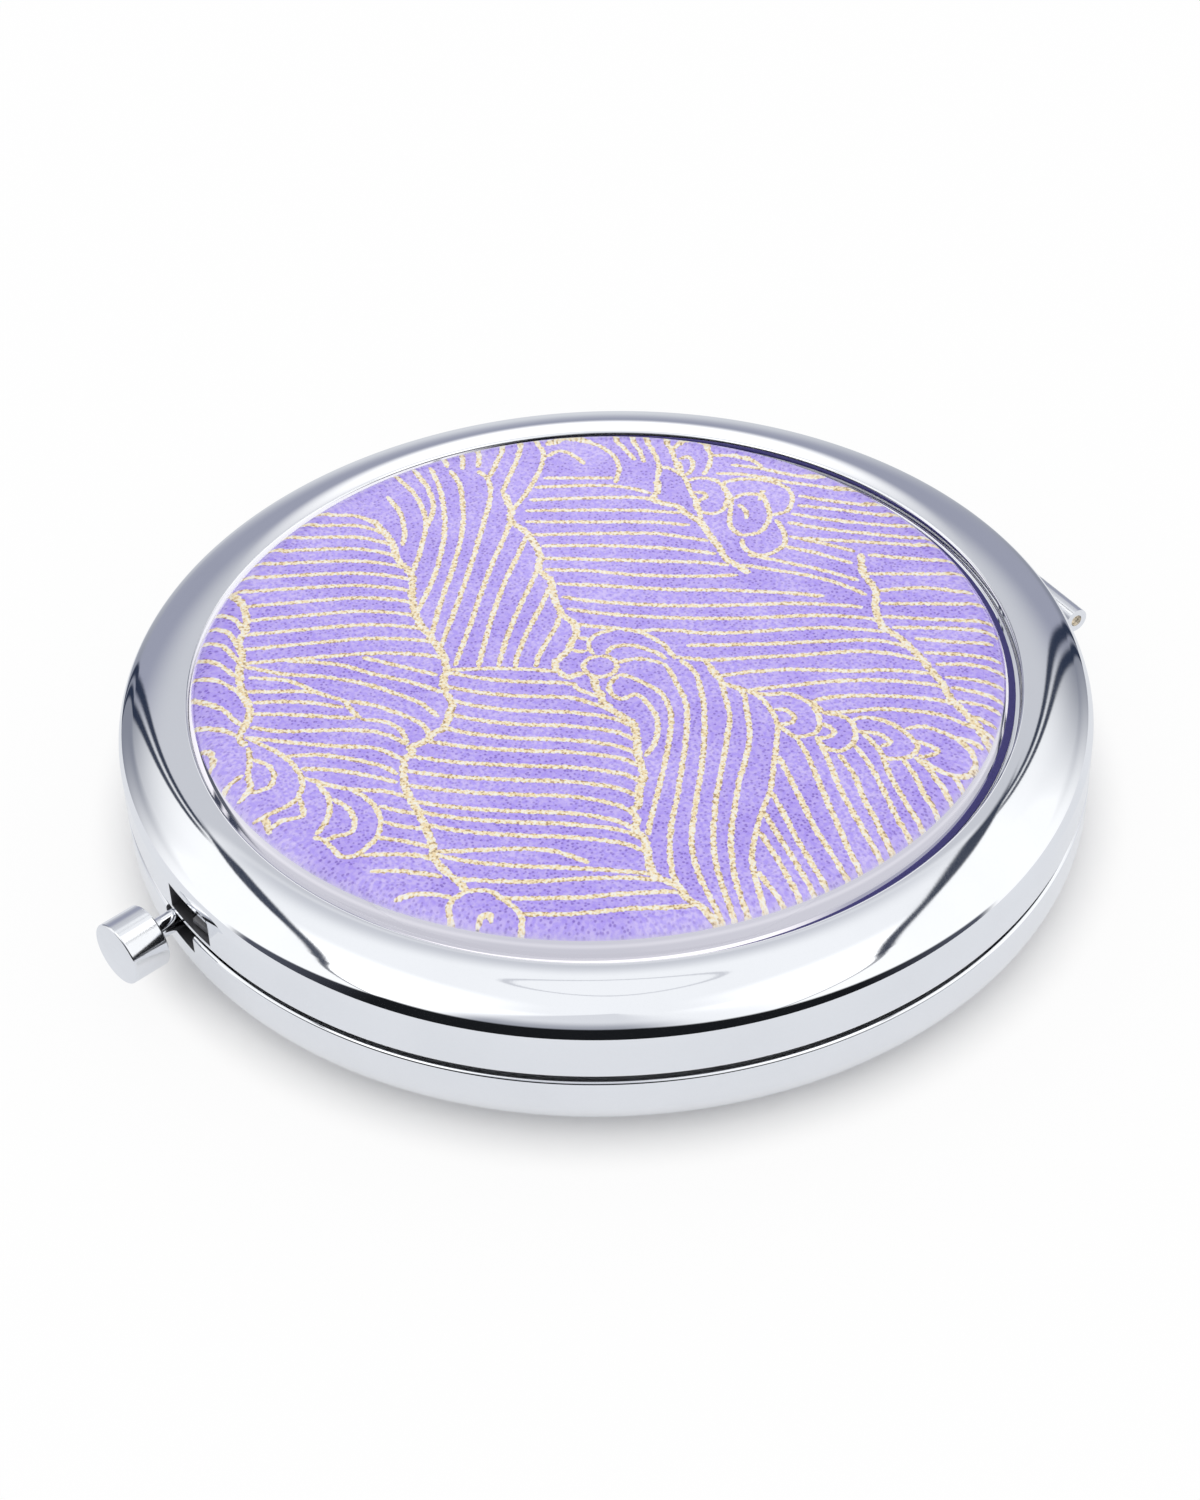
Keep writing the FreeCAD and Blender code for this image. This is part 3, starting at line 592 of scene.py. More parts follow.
lid_shell = turned("lid_shell_plated", [
    (0, tray_floor),
    (0, tray_under),
    (tray_outside, tray_under),
    (tray_outside, lid_top - crest_low),
    (inner_far, lid_top - inner_fall, inner_bevel, RIGHT),
    (wall_inner, lid_top - edge_low, inner_edge, RIGHT),
    (wall_inner, window_high),
    (wall_inner, lid_slot_top),
    (wall_inner, window_low),
    (wall_inner, lid_rim),
    (case_radius - rim_round, lid_rim),
    (case_radius, lid_rim + rim_round, rim_round, LEFT),
    (case_radius, window_low),
    (case_radius, lid_slot_top),
    (case_radius, window_high),
    (case_radius, lid_top - edge_low),
    (bevel_far, lid_top - bevel_low, edge_round, LEFT),
    (crest_radius, lid_top, bevel_radius, LEFT),
    (tray_radius, lid_top - lip_round, lip_round, LEFT),
    (tray_radius, tray_floor + tray_corner),
    (tray_radius - tray_corner, tray_floor, tray_corner, RIGHT),
], [
    (*wall_span(*window_sides), window_corners),
    (*wall_span(*lid_slot_sides, front=False), lid_slot_corners),
])
dress(lid_shell, chrome, "lid", "chrome_case", "lid_shell")
line_inside(lid_shell, painted_shade_steel, -1)

# Printed paper
# A disc of fibrous violet paper lies in the tray on a film of adhesive. Past the edge of the dome above,
# which is glued a little off the middle, the paper's rim is painted dark violet as the shade in the gap.
paper_top = 10.05
dome_middle = Vector((-0.23, -0.38, paper_top)) * MM
dome_radius = 29.3
rim_shade_inside, rim_shade_outside = 0.2, 0.05
film, wire = new_finish("adhesive_film")
flow = grain(wire, 0.8, 3.0)
coat(wire, {
    "Base Color": flow.blend((0.8, 0.8, 0.78, 1), (0.92, 0.92, 0.9, 1)),
    "Roughness": 0.3 + flow * 0.2,
})
coat_node("paper_adhesive", film)
violet, wire = new_finish("violet_paper")
clouds = grain(wire, 0.22, 3.0).step_up(0.32, 0.68)
fibres = grain(wire, 3.0, 2.0).step_up(0.34, 0.66)
pits = (1 - dots(wire, 3.2).step_up(0.2, 0.42)) * (0.4 + clouds * 0.6)
ground = fibres.blend((0.66, 0.55, 1.0, 1), (0.44, 0.33, 0.96, 1))
shade = (clouds * 0.5).blend(ground, (0.36, 0.235, 0.88, 1))
spot = wire.node("ShaderNodeTexCoord", {}, {}, "Object")
reach = wire.node("ShaderNodeVectorMath", {"operation": "DISTANCE"}, {0: spot, 1: dome_middle}, "Value")
# painted shade: past the dome's edge the paper is blended to a deep violet, standing in for the shade in the
# gap
painted_rim_shade = (reach / MM).step_up(dome_radius - rim_shade_inside, dome_radius + rim_shade_outside)
coat(wire, {
    "Base Color": painted_rim_shade.blend(pits.blend(shade, (0.23, 0.13, 0.64, 1)), (0.06, 0.055, 0.18, 1)),
    "Roughness": 0.7 + fibres * 0.15,
    "Specular IOR Level": 0.1,
    "Normal": relief(wire, 1 - pits, 0.02),
})
coat_node("printed_paper", violet)

# Gold wave lines
# The paper is printed with a traditional pattern of waves in grainy, slightly raised gold ink: backbones that
# run down the sheet, fields of nearly parallel lines between them, and crests whose tips curl. Places on it
# are in pairs, to the right and upwards as the print is seen from its foot.
print_angle = math.radians(58.5)
print_turn = Matrix.Rotation(print_angle, 2)
print_border = 0.5
printed_radius = dome_radius - print_border
ink_width = 0.42
spine_width = 0.58
ink_height = 0.018
stroke_lift, stroke_levels = 0.0004, 9
run_step = 0.14
run_past = 4
tip_width, tip_growth = 0.55, 0.2
raggedness, rags_per_mm, side_apart = 0.6, 4.3, 7.0
far_left_spine = (
    -27.3, 10.7, -26.6, 9.0, -26.2, 7.4, -26.1, 5.8, -26.5, 4.2, -26.1, 2.6, -26.2, 0.6, -25.9, -1.2,
    -25.2, -3.2, -25.3, -4.9, -25.7, -6.3, -25.2, -7.4,
)
left_spine = (
    -17.3, 18.8, -15.8, 16.0, -15.2, 13.6, -14.1, 11.6, -14.0, 9.0, -13.6, 6.5, -12.5, 4.0, -11.6, 2.0,
    -11.3, 0.2, -11.5, -0.9, -11.3, -2.3, -10.8, -3.6, -11.0, -4.7, -11.3, -6.1, -12.1, -6.8, -12.8, -7.7,
    -13.6, -8.1, -13.5, -8.8, -14.0, -9.5, -14.0, -11.5, -13.5, -13.5, -12.8, -15.1, -12.4, -16.5,
    -11.9, -18.1, -11.7, -19.6, -11.0, -20.8, -10.1, -21.9, -9.5, -22.8,
)
fan_spine = (
    -7.3, 21.7, -6.7, 19.5, -6.7, 18.0, -5.4, 16.2, -4.5, 13.5, -4.6, 11.8, -3.7, 10.2, -3.5, 8.3,
    -2.9, 6.2, -2.05, 5.0, -1.95, 3.85, -2.3, 2.85, -2.5, 2.05, -3.0, 1.3, -3.4, 0.7, -3.5, 0.15,
    -3.2, -0.4, -2.7, -1.0, -2.05, -0.9, -1.4, -0.65,
)
middle_spine = (
    -1.05, -0.8, -0.7, -1.45, -0.6, -2.35, -0.25, -3.15, -0.15, -3.85, 0.5, -4.85, 1.85, -6.3, 2.1, -7.65,
    2.15, -9.35, 2.35, -11.0, 2.5, -12.0, 2.15, -13.5, 2.0, -15.0, 1.6, -15.5, 1.9, -16.5, 1.75, -17.35,
    2.35, -18.35, 2.5, -19.7, 2.6, -20.85, 3.0, -22.0, 4.35, -23.0, 5.0, -24.2, 6.0, -25.2, 6.6, -26.0,
    7.6, -28.0,
)
upper_spine = (
    4.6, 22.8, 4.6, 21.4, 4.25, 20.1, 6.0, 19.2, 6.55, 18.35, 7.65, 17.1, 8.2, 15.65, 8.9, 13.85,
    9.45, 12.2, 10.0, 11.7, 11.05, 10.4,
)
right_spine = (
    19.5, 12.5, 19.5, 10.0, 20.2, 8.0, 20.0, 6.0, 20.2, 4.0, 20.5, 3.35, 21.5, 2.15, 22.7, 0.0,
    23.35, -1.65, 24.0, -3.15, 24.35, -4.65, 25.2, -6.35, 25.7, -7.65, 26.2, -9.85,
)


def pairs(flat):
    """Places on the print, from a flat row of numbers."""
    return [Vector(spot) for spot in zip(flat[::2], flat[1::2])]


def across(spine, height):
    """Where a backbone that runs down the sheet passes a height."""
    spots = pairs(spine)
    for upper, lower in zip(spots, spots[1:]):
        if upper.y >= height >= lower.y:
            return upper.lerp(lower, (upper.y - height) / max(upper.y - lower.y, tiny))
    return spots[0] if height > spots[0].y else spots[-1]


def to_edge(flat):
    """A line carried on past its last place, to the edge of the print."""
    before, last = pairs(flat)[-2:]
    return flat + tuple(last + (last - before).normalized() * run_past)


def far_left_field():
    """Lines that arch from the far left, or the paper's edge, down to the left backbone."""
    strokes = []
    for left, right in (
        ((-22.3, 19.6), 18.2), ((-23.3, 18.3), 16.9), ((-24.2, 16.8), 15.4), ((-25.1, 15.2), 14.0),
        ((-25.9, 13.6), 12.5), ((-26.7, 12.0), 11.0), ((-26.9, 10.3), 9.6), ((-26.4, 8.5), 8.2),
        ((-26.1, 6.8), 6.6), ((-26.3, 5.1), 5.0), ((-26.2, 3.4), 3.4), ((-26.1, 1.8), 1.6),
    ):
        start, end = Vector(left), across(left_spine, right)
        bow = Vector((0, 0.4))
        strokes.append([start, start.lerp(end, 0.3) + bow, start.lerp(end, 0.65) + 1.9 * bow,
                        start.lerp(end, 0.88) + 1.1 * bow, end])
    return strokes


def middle_field():
    """Lines from the left backbone to the middle one, which they meet on a slope."""
    strokes = []
    for height in (-1.4, -3.0, -4.6, -6.1, -7.6, -8.9, -10.5, -12.0, -13.5, -15.2, -16.3, -17.6, -20.6):
        start = across(left_spine, height + 1.4)
        end = across(middle_spine, height - 2.1)
        middle = Vector((-6, height))
        strokes.append([start, start.lerp(middle, 0.45) + Vector((0, -0.2)), middle,
                        Vector((-2.6, height - 0.35)), end + Vector((-1.6, 1.0)), end])
    return strokes


drawn = [far_left_spine, left_spine, fan_spine, middle_spine, upper_spine, right_spine]
spines = len(drawn)
# the far left fan
drawn += [
    (-28.2, 8.1, -26.9, 6.9, -26.3, 5.6),
    (-28.6, 6.4, -27.4, 5.5, -26.4, 3.6),
    (-29.0, 4.8, -27.6, 3.9, -26.2, 1.8),
    (-29.3, 3.0, -28.0, 2.1, -26.4, 0.3),
    (-29.4, 0.9, -27.5, -0.2, -26.1, -1.5, -25.3, -3.2),
    (-29.4, -1.2, -27.2, -3.2, -26.1, -4.6, -25.5, -5.2),
    (-28.8, -4.6, -27.3, -5.3, -25.8, -6.3),
    (-28.0, -7.1, -27.3, -7.6, -27.0, -8.6, -27.2, -9.4),
]
# the foot of the far left field
drawn += [
    (-25.9, 1.45, -22.8, 0.4, -20.3, 0.0, -17.4, -0.9, -15.1, -2.1, -13.1, -3.4, -11.7, -5.0),
    (-23.0, 2.0, -19.2, 1.3, -16.4, 0.0, -13.8, -1.05, -11.5, -2.3),
    (-17.4, 2.0, -14.4, 0.75, -11.9, -0.35),
    (-25.6, -1.4, -23.7, -1.5, -21.4, -1.6, -20.5, -1.85),
    (-25.0, -2.65, -22.8, -2.65, -20.65, -2.95, -18.5, -3.55),
    (-25.0, -3.9, -22.5, -4.1, -19.95, -4.45, -17.6, -4.8),
    (-25.5, 0.2, -22.8, -0.3, -21.0, -1.4, -19.95, -2.1, -18.5, -2.85, -18.15, -3.55, -17.25, -4.8),
    (-18.15, -2.85, -16.5, -3.4, -14.55, -4.45, -12.95, -5.7, -12.3, -7.0, -12.6, -7.5, -13.5, -7.9),
    (-17.25, -4.9, -15.45, -5.35, -14.4, -6.25, -13.85, -7.7),
    (-25.0, -5.35, -22.8, -5.9, -18.85, -6.0, -16.5, -6.25, -14.9, -7.0, -13.85, -7.85),
    (-25.3, -6.45, -22.8, -7.0, -19.2, -7.7, -16.35, -8.05, -14.75, -8.95, -14.0, -9.5),
    (-22.3, -8.6, -19.95, -8.6, -17.8, -9.15, -15.65, -10.0, -14.4, -10.95),
    (-21.2, -10.0, -19.2, -10.2, -17.05, -10.75, -14.4, -11.8),
    (-21.0, -10.9, -19.2, -11.8, -17.4, -12.35, -15.1, -12.7, -13.5, -13.45),
    (-15.65, -14.15, -14.2, -14.7, -12.95, -15.05),
    (-15.3, -15.75, -13.85, -16.3, -12.4, -16.65),
    (-15.65, -17.3, -13.85, -17.75, -12.05, -18.45),
    (-16.7, -19.0, -14.75, -19.0, -12.95, -19.2, -11.7, -19.7),
    (-16.0, -20.6, -13.85, -20.7, -11.15, -21.35),
    (-14.2, -23.1, -12.75, -22.95, -11.35, -23.1, -10.4, -23.5),
]
# the curled crests at the lower left and the curl at the foot
drawn += [
    (-25.0, -6.6, -23.5, -7.7, -22.3, -8.8, -21.55, -9.85, -21.0, -11.3, -21.2, -12.9, -21.9, -13.8,
     -23.0, -14.5, -23.9, -14.9),
    (-25.0, -7.5, -24.8, -8.8, -24.8, -10.55, -24.5, -11.8, -25.0, -12.9),
    (-24.6, -8.8, -23.5, -9.5, -23.0, -10.55, -23.2, -11.65, -24.1, -12.2, -24.6, -12.0),
    (-25.15, -10.4, -25.9, -11.3, -26.05, -12.0),
    (-21.2, -12.9, -20.85, -14.0, -20.85, -14.9, -22.1, -15.25, -22.8, -15.8),
    (-23.35, -14.5, -23.0, -15.25, -22.65, -16.15),
    (-19.95, -11.65, -19.2, -12.9, -18.95, -14.15, -19.2, -15.6, -19.8, -16.85),
    (-18.85, -13.25, -17.8, -14.15, -17.25, -15.4, -17.4, -16.65, -18.5, -17.05, -19.2, -17.55),
    (-17.8, -12.2, -16.7, -13.1, -15.8, -14.35, -15.45, -15.75, -15.65, -17.2, -16.2, -18.1, -17.05, -19.0,
     -18.0, -19.0, -18.7, -18.1, -19.2, -17.4, -19.95, -17.05),
    (-9.8, -26.8, -10.4, -25.3, -10.6, -24.0, -9.9, -23.1, -9.2, -22.8, -7.9, -22.95, -6.85, -24.0,
     -6.1, -24.95, -5.85, -26.0, -6.2, -27.6),
    (-8.7, -25.9, -8.5, -25.2, -8.0, -25.1, -7.8, -25.6),
]
# the fan at the upper left
drawn += [
    (-5.0, 28.8, -4.2, 27.0, -4.4, 25.0, -5.0, 23.0, -5.7, 21.2, -6.7, 19.2),
    (-16.3, 21.8, -15.2, 19.5, -14.8, 17.0, -14.9, 15.3),
    (-15.6, 24.3, -14.2, 22.0, -13.5, 20.0, -13.2, 17.8, -13.5, 14.8, -14.0, 12.0),
    (-14.2, 25.0, -13.1, 22.5, -12.7, 20.0, -13.1, 17.5),
    (-13.0, 25.3, -12.2, 22.5, -11.8, 19.0, -11.8, 16.0, -12.3, 12.0, -13.0, 9.0, -13.6, 7.0),
    (-11.5, 25.0, -10.7, 23.0, -10.4, 20.0, -10.4, 17.0, -10.9, 13.0, -11.7, 9.0, -12.5, 4.0),
    (-9.3, 24.8, -8.5, 23.5, -8.3, 21.5, -8.6, 19.0, -9.1, 16.0, -9.8, 12.0, -10.6, 8.0, -11.4, 4.5,
     -11.8, 2.5),
    (-7.1, 28.5, -7.8, 26.0, -8.4, 23.8),
    (-5.8, 28.8, -6.3, 26.0, -7.2, 22.6, -7.4, 21.6),
    (-6.7, 18.0, -7.2, 16.0, -8.0, 13.0, -8.8, 9.5, -9.6, 5.5, -10.4, 2.0, -10.7, 0.6),
    (-5.5, 16.0, -6.2, 13.5, -7.1, 10.5, -8.0, 6.5, -8.6, 3.0, -9.0, 0.4),
    (-4.6, 12.0, -5.2, 10.0, -6.1, 7.0, -7.0, 3.5, -7.6, 0.2),
    (-3.7, 9.8, -4.4, 7.5, -5.4, 4.5, -6.2, 1.5, -6.3, 0.2),
    (-3.0, 6.5, -3.4, 4.8, -4.2, 2.7, -4.7, 1.3, -4.9, 0.15),
    (-9.2, 28.0, -9.3, 25.2),
    (-10.5, 27.0, -10.5, 25.0),
    (-11.9, 26.6, -11.7, 25.3),
    (-11.2, 0.2, -8.0, 0.2, -5.0, -0.1, -3.2, -0.45),
]
# the curl in the middle
drawn += [
    (-2.05, 5.0, -1.0, 4.75, 0.1, 4.5, 1.2, 4.3, 2.8, 3.95, 3.9, 4.0, 6.5, 3.7),
    (-1.95, 3.4, -1.0, 3.2),
    (-2.3, 2.05, -1.8, 1.8, -1.15, 1.85),
    (1.0, 4.3, -0.15, 3.85, -0.7, 3.4, -1.05, 2.8, -1.0, 2.1, -0.7, 1.4),
    (-0.25, 1.23, 0.6, 0.88, 0.95, 0.03, 0.6, -0.82, -0.25, -1.17, -1.1, -0.82, -1.45, 0.03, -1.1, 0.88,
     -0.25, 1.23),
    (1.2, 4.3, 2.6, 3.85, 3.7, 3.0, 4.5, 2.1, 4.9, 1.15, 5.2, 0.6),
    (0.2, 1.4, 0.55, 2.05, 1.2, 2.3, 2.1, 2.3, 3.05, 1.85, 3.95, 1.3, 4.5, 0.6),
    (1.0, 0.35, 1.65, 0.6, 2.45, 0.75, 3.4, 0.5, 4.25, 0.15),
    (1.0, -1.0, 0.45, -1.9, 0.35, -2.6, 0.65, -3.35, 1.2, -3.7, 1.9, -3.35, 2.25, -3.25, 2.85, -4.0,
     3.5, -5.5, 3.65, -6.85, 3.35, -8.65, 2.65, -10.0),
]
# the wave that falls from it
drawn += [
    (1.0, -1.0, 1.7, -1.2, 2.55, -1.8, 3.85, -3.0, 4.4, -4.35, 4.6, -6.0, 4.35, -8.65, 4.0, -10.65,
     3.35, -14.0, 2.85, -16.35, 2.6, -18.0),
    (4.3, 0.15, 4.8, -1.0, 5.15, -2.25, 5.65, -4.0, 5.75, -5.65, 5.5, -8.65, 5.1, -11.5, 4.65, -14.5,
     4.15, -17.35, 4.0, -19.7, 4.1, -21.7, 4.35, -22.7),
]
drawn += [to_edge(flat) for flat in (
    (5.5, 0.45, 6.2, -0.45, 6.65, -1.65, 6.95, -4.5, 6.85, -7.85, 6.5, -11.2, 6.0, -14.5, 5.6, -17.35,
     5.5, -19.7, 5.85, -22.0, 6.35, -23.85, 6.85, -25.35),
    (6.4, 0.6, 7.3, 0.25, 7.8, -1.2, 8.25, -2.0, 8.5, -3.65, 8.7, -6.15, 8.35, -8.65, 7.85, -11.65,
     7.35, -14.5, 7.0, -17.85, 6.95, -20.0, 7.2, -22.35, 7.9, -26.0),
    (8.5, -2.35, 9.75, -3.35, 9.95, -5.35, 10.0, -7.85, 9.7, -10.0, 9.0, -12.85, 8.5, -15.85, 8.15, -18.35,
     8.1, -20.35, 8.25, -22.85, 8.7, -25.35),
    (7.3, 0.25, 8.2, -1.5, 8.5, -2.3, 10.0, -3.15, 11.0, -4.0, 11.7, -5.65, 12.0, -7.0, 11.75, -9.35,
     11.5, -11.0, 11.1, -13.65, 10.5, -15.65, 10.0, -17.35, 9.5, -19.85, 9.45, -21.7, 9.65, -23.35,
     9.85, -24.85),
)]
# the fan at the lower right
drawn += [to_edge(flat) for flat in (
    (9.75, -21.85, 10.35, -23.2, 10.95, -24.35),
    (10.1, -18.0, 10.85, -20.0, 11.7, -22.5, 12.0, -23.5),
    (10.5, -16.0, 11.35, -18.5, 12.2, -20.85, 12.75, -22.5),
    (11.1, -14.0, 11.85, -16.35, 12.5, -18.7, 13.35, -21.2, 13.85, -22.7),
    (11.85, -10.35, 12.5, -12.7, 13.2, -15.35, 13.85, -17.85, 14.85, -20.7),
    (13.2, -8.35, 13.85, -10.35, 14.4, -13.0, 15.0, -15.85, 15.85, -19.7),
    (14.6, -8.35, 15.2, -10.65, 15.85, -14.0, 16.7, -17.0, 17.35, -19.2),
    (16.0, -10.35, 16.85, -12.35, 17.35, -15.0, 18.0, -17.35, 18.5, -19.7),
    (17.2, -9.5, 18.0, -11.35, 18.7, -14.0, 19.5, -17.35, 19.85, -18.7),
    (19.0, -10.7, 19.35, -12.7, 20.0, -15.0, 20.7, -17.5),
    (20.35, -11.0, 21.0, -12.7, 21.5, -14.85, 21.85, -16.2),
    (21.2, -10.85, 22.0, -12.0, 22.7, -14.0, 22.85, -14.7),
    (23.5, -12.85, 23.85, -13.85),
)]
# the row of curled crests at the right
drawn += [
    (10.3, -3.35, 11.5, -3.7, 12.7, -3.65, 13.5, -4.0, 14.5, -4.85, 14.9, -6.0, 14.9, -7.35, 14.35, -8.15,
     13.2, -8.35, 12.5, -7.65, 12.0, -7.0),
    (12.0, -7.0, 13.0, -6.85, 13.2, -6.15, 12.7, -5.5, 11.85, -5.35),
    (14.5, -4.5, 15.35, -5.85, 16.35, -6.15, 17.2, -7.0, 17.35, -8.35, 17.0, -9.35, 16.2, -10.0,
     15.2, -9.65, 14.65, -8.85),
    (15.0, -7.0, 15.7, -7.5, 15.85, -8.15, 15.35, -8.5, 14.5, -8.65),
    (17.2, -6.85, 18.0, -6.5, 19.35, -6.85, 20.35, -7.65, 21.2, -8.85, 21.5, -9.85, 21.0, -10.7,
     20.0, -11.0, 19.2, -10.85, 18.85, -10.2),
    (17.5, -8.0, 18.7, -8.2, 19.35, -8.7, 19.7, -9.2, 19.0, -9.7),
    (17.7, -7.85, 18.35, -9.0, 19.0, -10.35),
    (20.85, -7.85, 22.0, -7.65, 23.2, -8.2, 24.2, -9.0, 24.85, -10.0, 25.0, -11.35, 24.35, -12.5,
     23.35, -12.7, 22.35, -12.0, 21.85, -11.2),
    (21.5, -9.15, 22.35, -9.7, 22.85, -10.35, 22.0, -10.85, 21.5, -10.7),
    (24.0, -8.85, 25.2, -9.35, 25.7, -9.85),
]
# the field over those crests, and the lines from the right backbone to the edge
drawn += [
    (6.0, 3.6, 9.35, 3.4, 14.35, 3.65, 16.85, 3.65, 19.35, 3.25, 20.5, 3.0),
    (6.0, 2.1, 11.0, 2.0, 16.0, 2.1, 19.35, 2.1, 21.0, 1.65, 22.2, 1.0),
    (5.1, 0.8, 7.7, 0.35, 11.0, 0.5, 14.35, 0.6, 17.7, 0.85, 20.2, 0.6, 21.85, 0.0, 22.7, -0.35),
    (8.2, -1.5, 10.2, -1.15, 13.35, -1.0, 17.7, -1.35, 20.2, -1.35, 23.2, -1.85),
    (10.2, -3.15, 12.7, -2.85, 15.7, -2.5, 18.5, -2.4, 21.0, -2.65, 23.35, -3.15, 24.2, -3.65),
    (14.7, -4.5, 16.35, -4.15, 18.5, -4.15, 21.0, -4.35, 23.5, -4.85, 24.5, -5.35),
    (15.35, -5.85, 16.85, -5.85, 19.35, -5.65, 21.85, -6.0, 23.5, -6.5, 24.85, -7.35, 25.7, -8.0),
    (20.0, 12.3, 26.2, 11.15),
    (19.6, 10.0, 27.3, 9.6),
    (20.4, 7.9, 23.85, 8.1, 26.9, 7.3),
    (20.4, 6.35, 27.7, 5.95),
    (20.4, 4.8, 28.1, 3.85),
    (21.0, 3.5, 26.0, 3.1, 28.3, 2.4),
    (22.5, 2.15, 25.2, 1.65, 27.7, 1.35),
    (23.0, 0.5, 26.0, 0.1, 28.0, -0.5),
    (23.7, -0.85, 26.0, -1.0, 28.2, -1.85),
    (24.2, -2.35, 26.0, -2.65, 27.85, -3.35),
    (24.5, -3.5, 26.0, -4.0, 27.7, -4.85),
    (24.85, -5.0, 26.35, -5.5, 27.35, -6.0),
    (25.5, -6.65, 26.85, -7.5),
    (25.85, -8.0, 26.7, -8.7),
]
# the upper field, left and right of the upper backbone
drawn += [
    (-4.2, 23.5, -1.5, 23.35, 1.2, 23.2),
    (-4.9, 22.3, -0.6, 22.3, 2.1, 21.9, 4.1, 21.0),
    (-5.3, 20.65, -0.6, 20.65, 3.0, 20.5, 4.8, 19.95),
    (-5.6, 19.25, -0.6, 19.05, 3.0, 18.8, 6.2, 18.3),
    (-5.6, 17.8, -0.6, 17.5, 3.9, 17.25, 6.9, 16.7),
    (-5.1, 16.1, -0.6, 16.0, 3.9, 15.8, 6.6, 15.1, 8.2, 14.6),
    (-4.4, 14.65, -0.6, 14.5, 3.9, 14.0, 6.6, 13.5, 8.7, 12.95),
    (-4.4, 13.1, -0.6, 12.75, 3.9, 12.3, 7.5, 11.95, 9.6, 11.5),
    (-4.2, 11.7, -0.6, 11.3, 3.0, 10.6, 7.5, 10.25, 10.2, 10.25),
    (-3.3, 9.9, -0.1, 9.5, 4.8, 8.8, 9.3, 8.45, 13.75, 7.9, 16.4, 7.4),
    (-2.95, 8.3, -0.1, 7.55, 4.8, 6.85, 9.3, 6.65, 13.75, 6.65, 17.3, 6.3, 19.1, 5.95),
    (-2.6, 6.85, 0.3, 6.1, 4.8, 5.4, 10.2, 5.05, 15.5, 5.15, 19.1, 4.7, 20.2, 4.15),
    (6.4, 25.15, 6.55, 23.5, 6.9, 22.3, 7.1, 21.2, 7.5, 19.6, 7.8, 17.4),
    (10.5, 11.5, 13.4, 10.6, 15.5, 9.9, 17.7, 8.8, 19.5, 7.4),
    (11.05, 12.75, 13.75, 11.7, 16.4, 10.6, 19.1, 9.2),
    (13.9, 13.65, 16.4, 12.6, 18.8, 11.3),
    (14.3, 14.9, 17.3, 13.65, 19.1, 12.75),
    (15.4, 14.6, 25.4, 13.1),
    (14.3, 16.7, 17.3, 15.65, 24.6, 14.0),
    (14.65, 17.8, 18.2, 16.7, 23.5, 15.6),
    (15.2, 18.85, 18.2, 18.15, 22.5, 17.0),
    (15.35, 20.1, 18.2, 19.2, 21.5, 18.4),
]
# the curls along the upper edge
drawn += [
    (-4.0, 26.4, -2.8, 27.1, -1.5, 26.05, -1.0, 25.15),
    (-4.0, 28.0, -2.05, 28.5, -0.1, 27.85, 1.2, 26.4, 1.7, 24.6, 1.35, 22.5),
    (1.2, 28.9, 2.1, 27.3, 3.0, 25.5),
    (2.6, 28.9, 3.35, 26.75, 3.7, 25.15),
    (3.7, 28.6, 4.4, 26.75, 4.8, 24.6, 4.6, 22.8),
    (5.1, 28.6, 5.85, 26.75, 6.2, 24.6, 6.55, 23.35),
    (5.85, 26.75, 6.55, 27.5, 7.65, 27.65, 8.55, 26.95, 8.9, 25.85, 8.7, 24.45, 8.2, 23.2),
    (6.4, 25.5, 7.1, 25.7, 7.45, 24.95, 7.3, 23.9, 6.75, 23.2),
    (8.9, 25.85, 10.5, 25.7, 12.0, 25.0, 12.85, 24.1),
    (9.6, 21.55, 10.15, 19.95, 9.95, 17.45, 10.0, 16.2, 10.7, 15.3, 11.95, 15.45, 12.65, 16.35, 13.0, 17.6,
     12.85, 19.25, 12.5, 20.3, 11.25, 20.5, 10.3, 19.95),
    (10.7, 19.2, 11.2, 18.35, 11.2, 17.25),
    (10.7, 14.75, 10.9, 13.5, 11.95, 12.6, 13.0, 12.95, 13.9, 14.0, 13.9, 15.65, 13.4, 17.1),
    (13.0, 17.6, 14.3, 18.15, 14.85, 19.4, 14.75, 20.7, 14.1, 21.6, 12.8, 22.3, 11.2, 22.5, 9.9, 22.2,
     9.6, 21.55),
    (12.4, 20.2, 12.7, 20.9, 12.3, 19.6),
    (6.9, 22.5, 8.0, 22.85, 9.2, 22.35, 9.85, 21.1, 9.85, 19.8, 9.5, 18.6, 8.7, 18.1, 7.8, 18.4, 7.4, 19.2,
     7.8, 19.9, 8.25, 20.3, 8.1, 20.8, 7.35, 21.0),
    (4.9, 24.5, 5.7, 24.2, 6.6, 23.2),
    (10.4, 24.5, 12.6, 23.9, 15.0, 22.9, 17.4, 22.2),
    (9.2, 23.4, 11.8, 23.0, 14.8, 21.9, 17.5, 21.1, 20.0, 20.2),
]
# the foot of the middle field
drawn += [
    (-11.6, -18.9, -8.5, -18.9, -6.0, -18.9, -3.6, -19.3, -1.4, -20.5),
    (-10.5, -21.6, -6.0, -22.1, -1.0, -22.0, 1.6, -22.1, 3.2, -22.4),
    (-7.6, -23.6, -3.0, -23.8, 0.5, -23.6, 3.4, -23.5, 4.5, -23.6),
    (-6.2, -25.2, -2.5, -25.3, 1.0, -25.0, 3.8, -25.0, 5.4, -24.9),
]


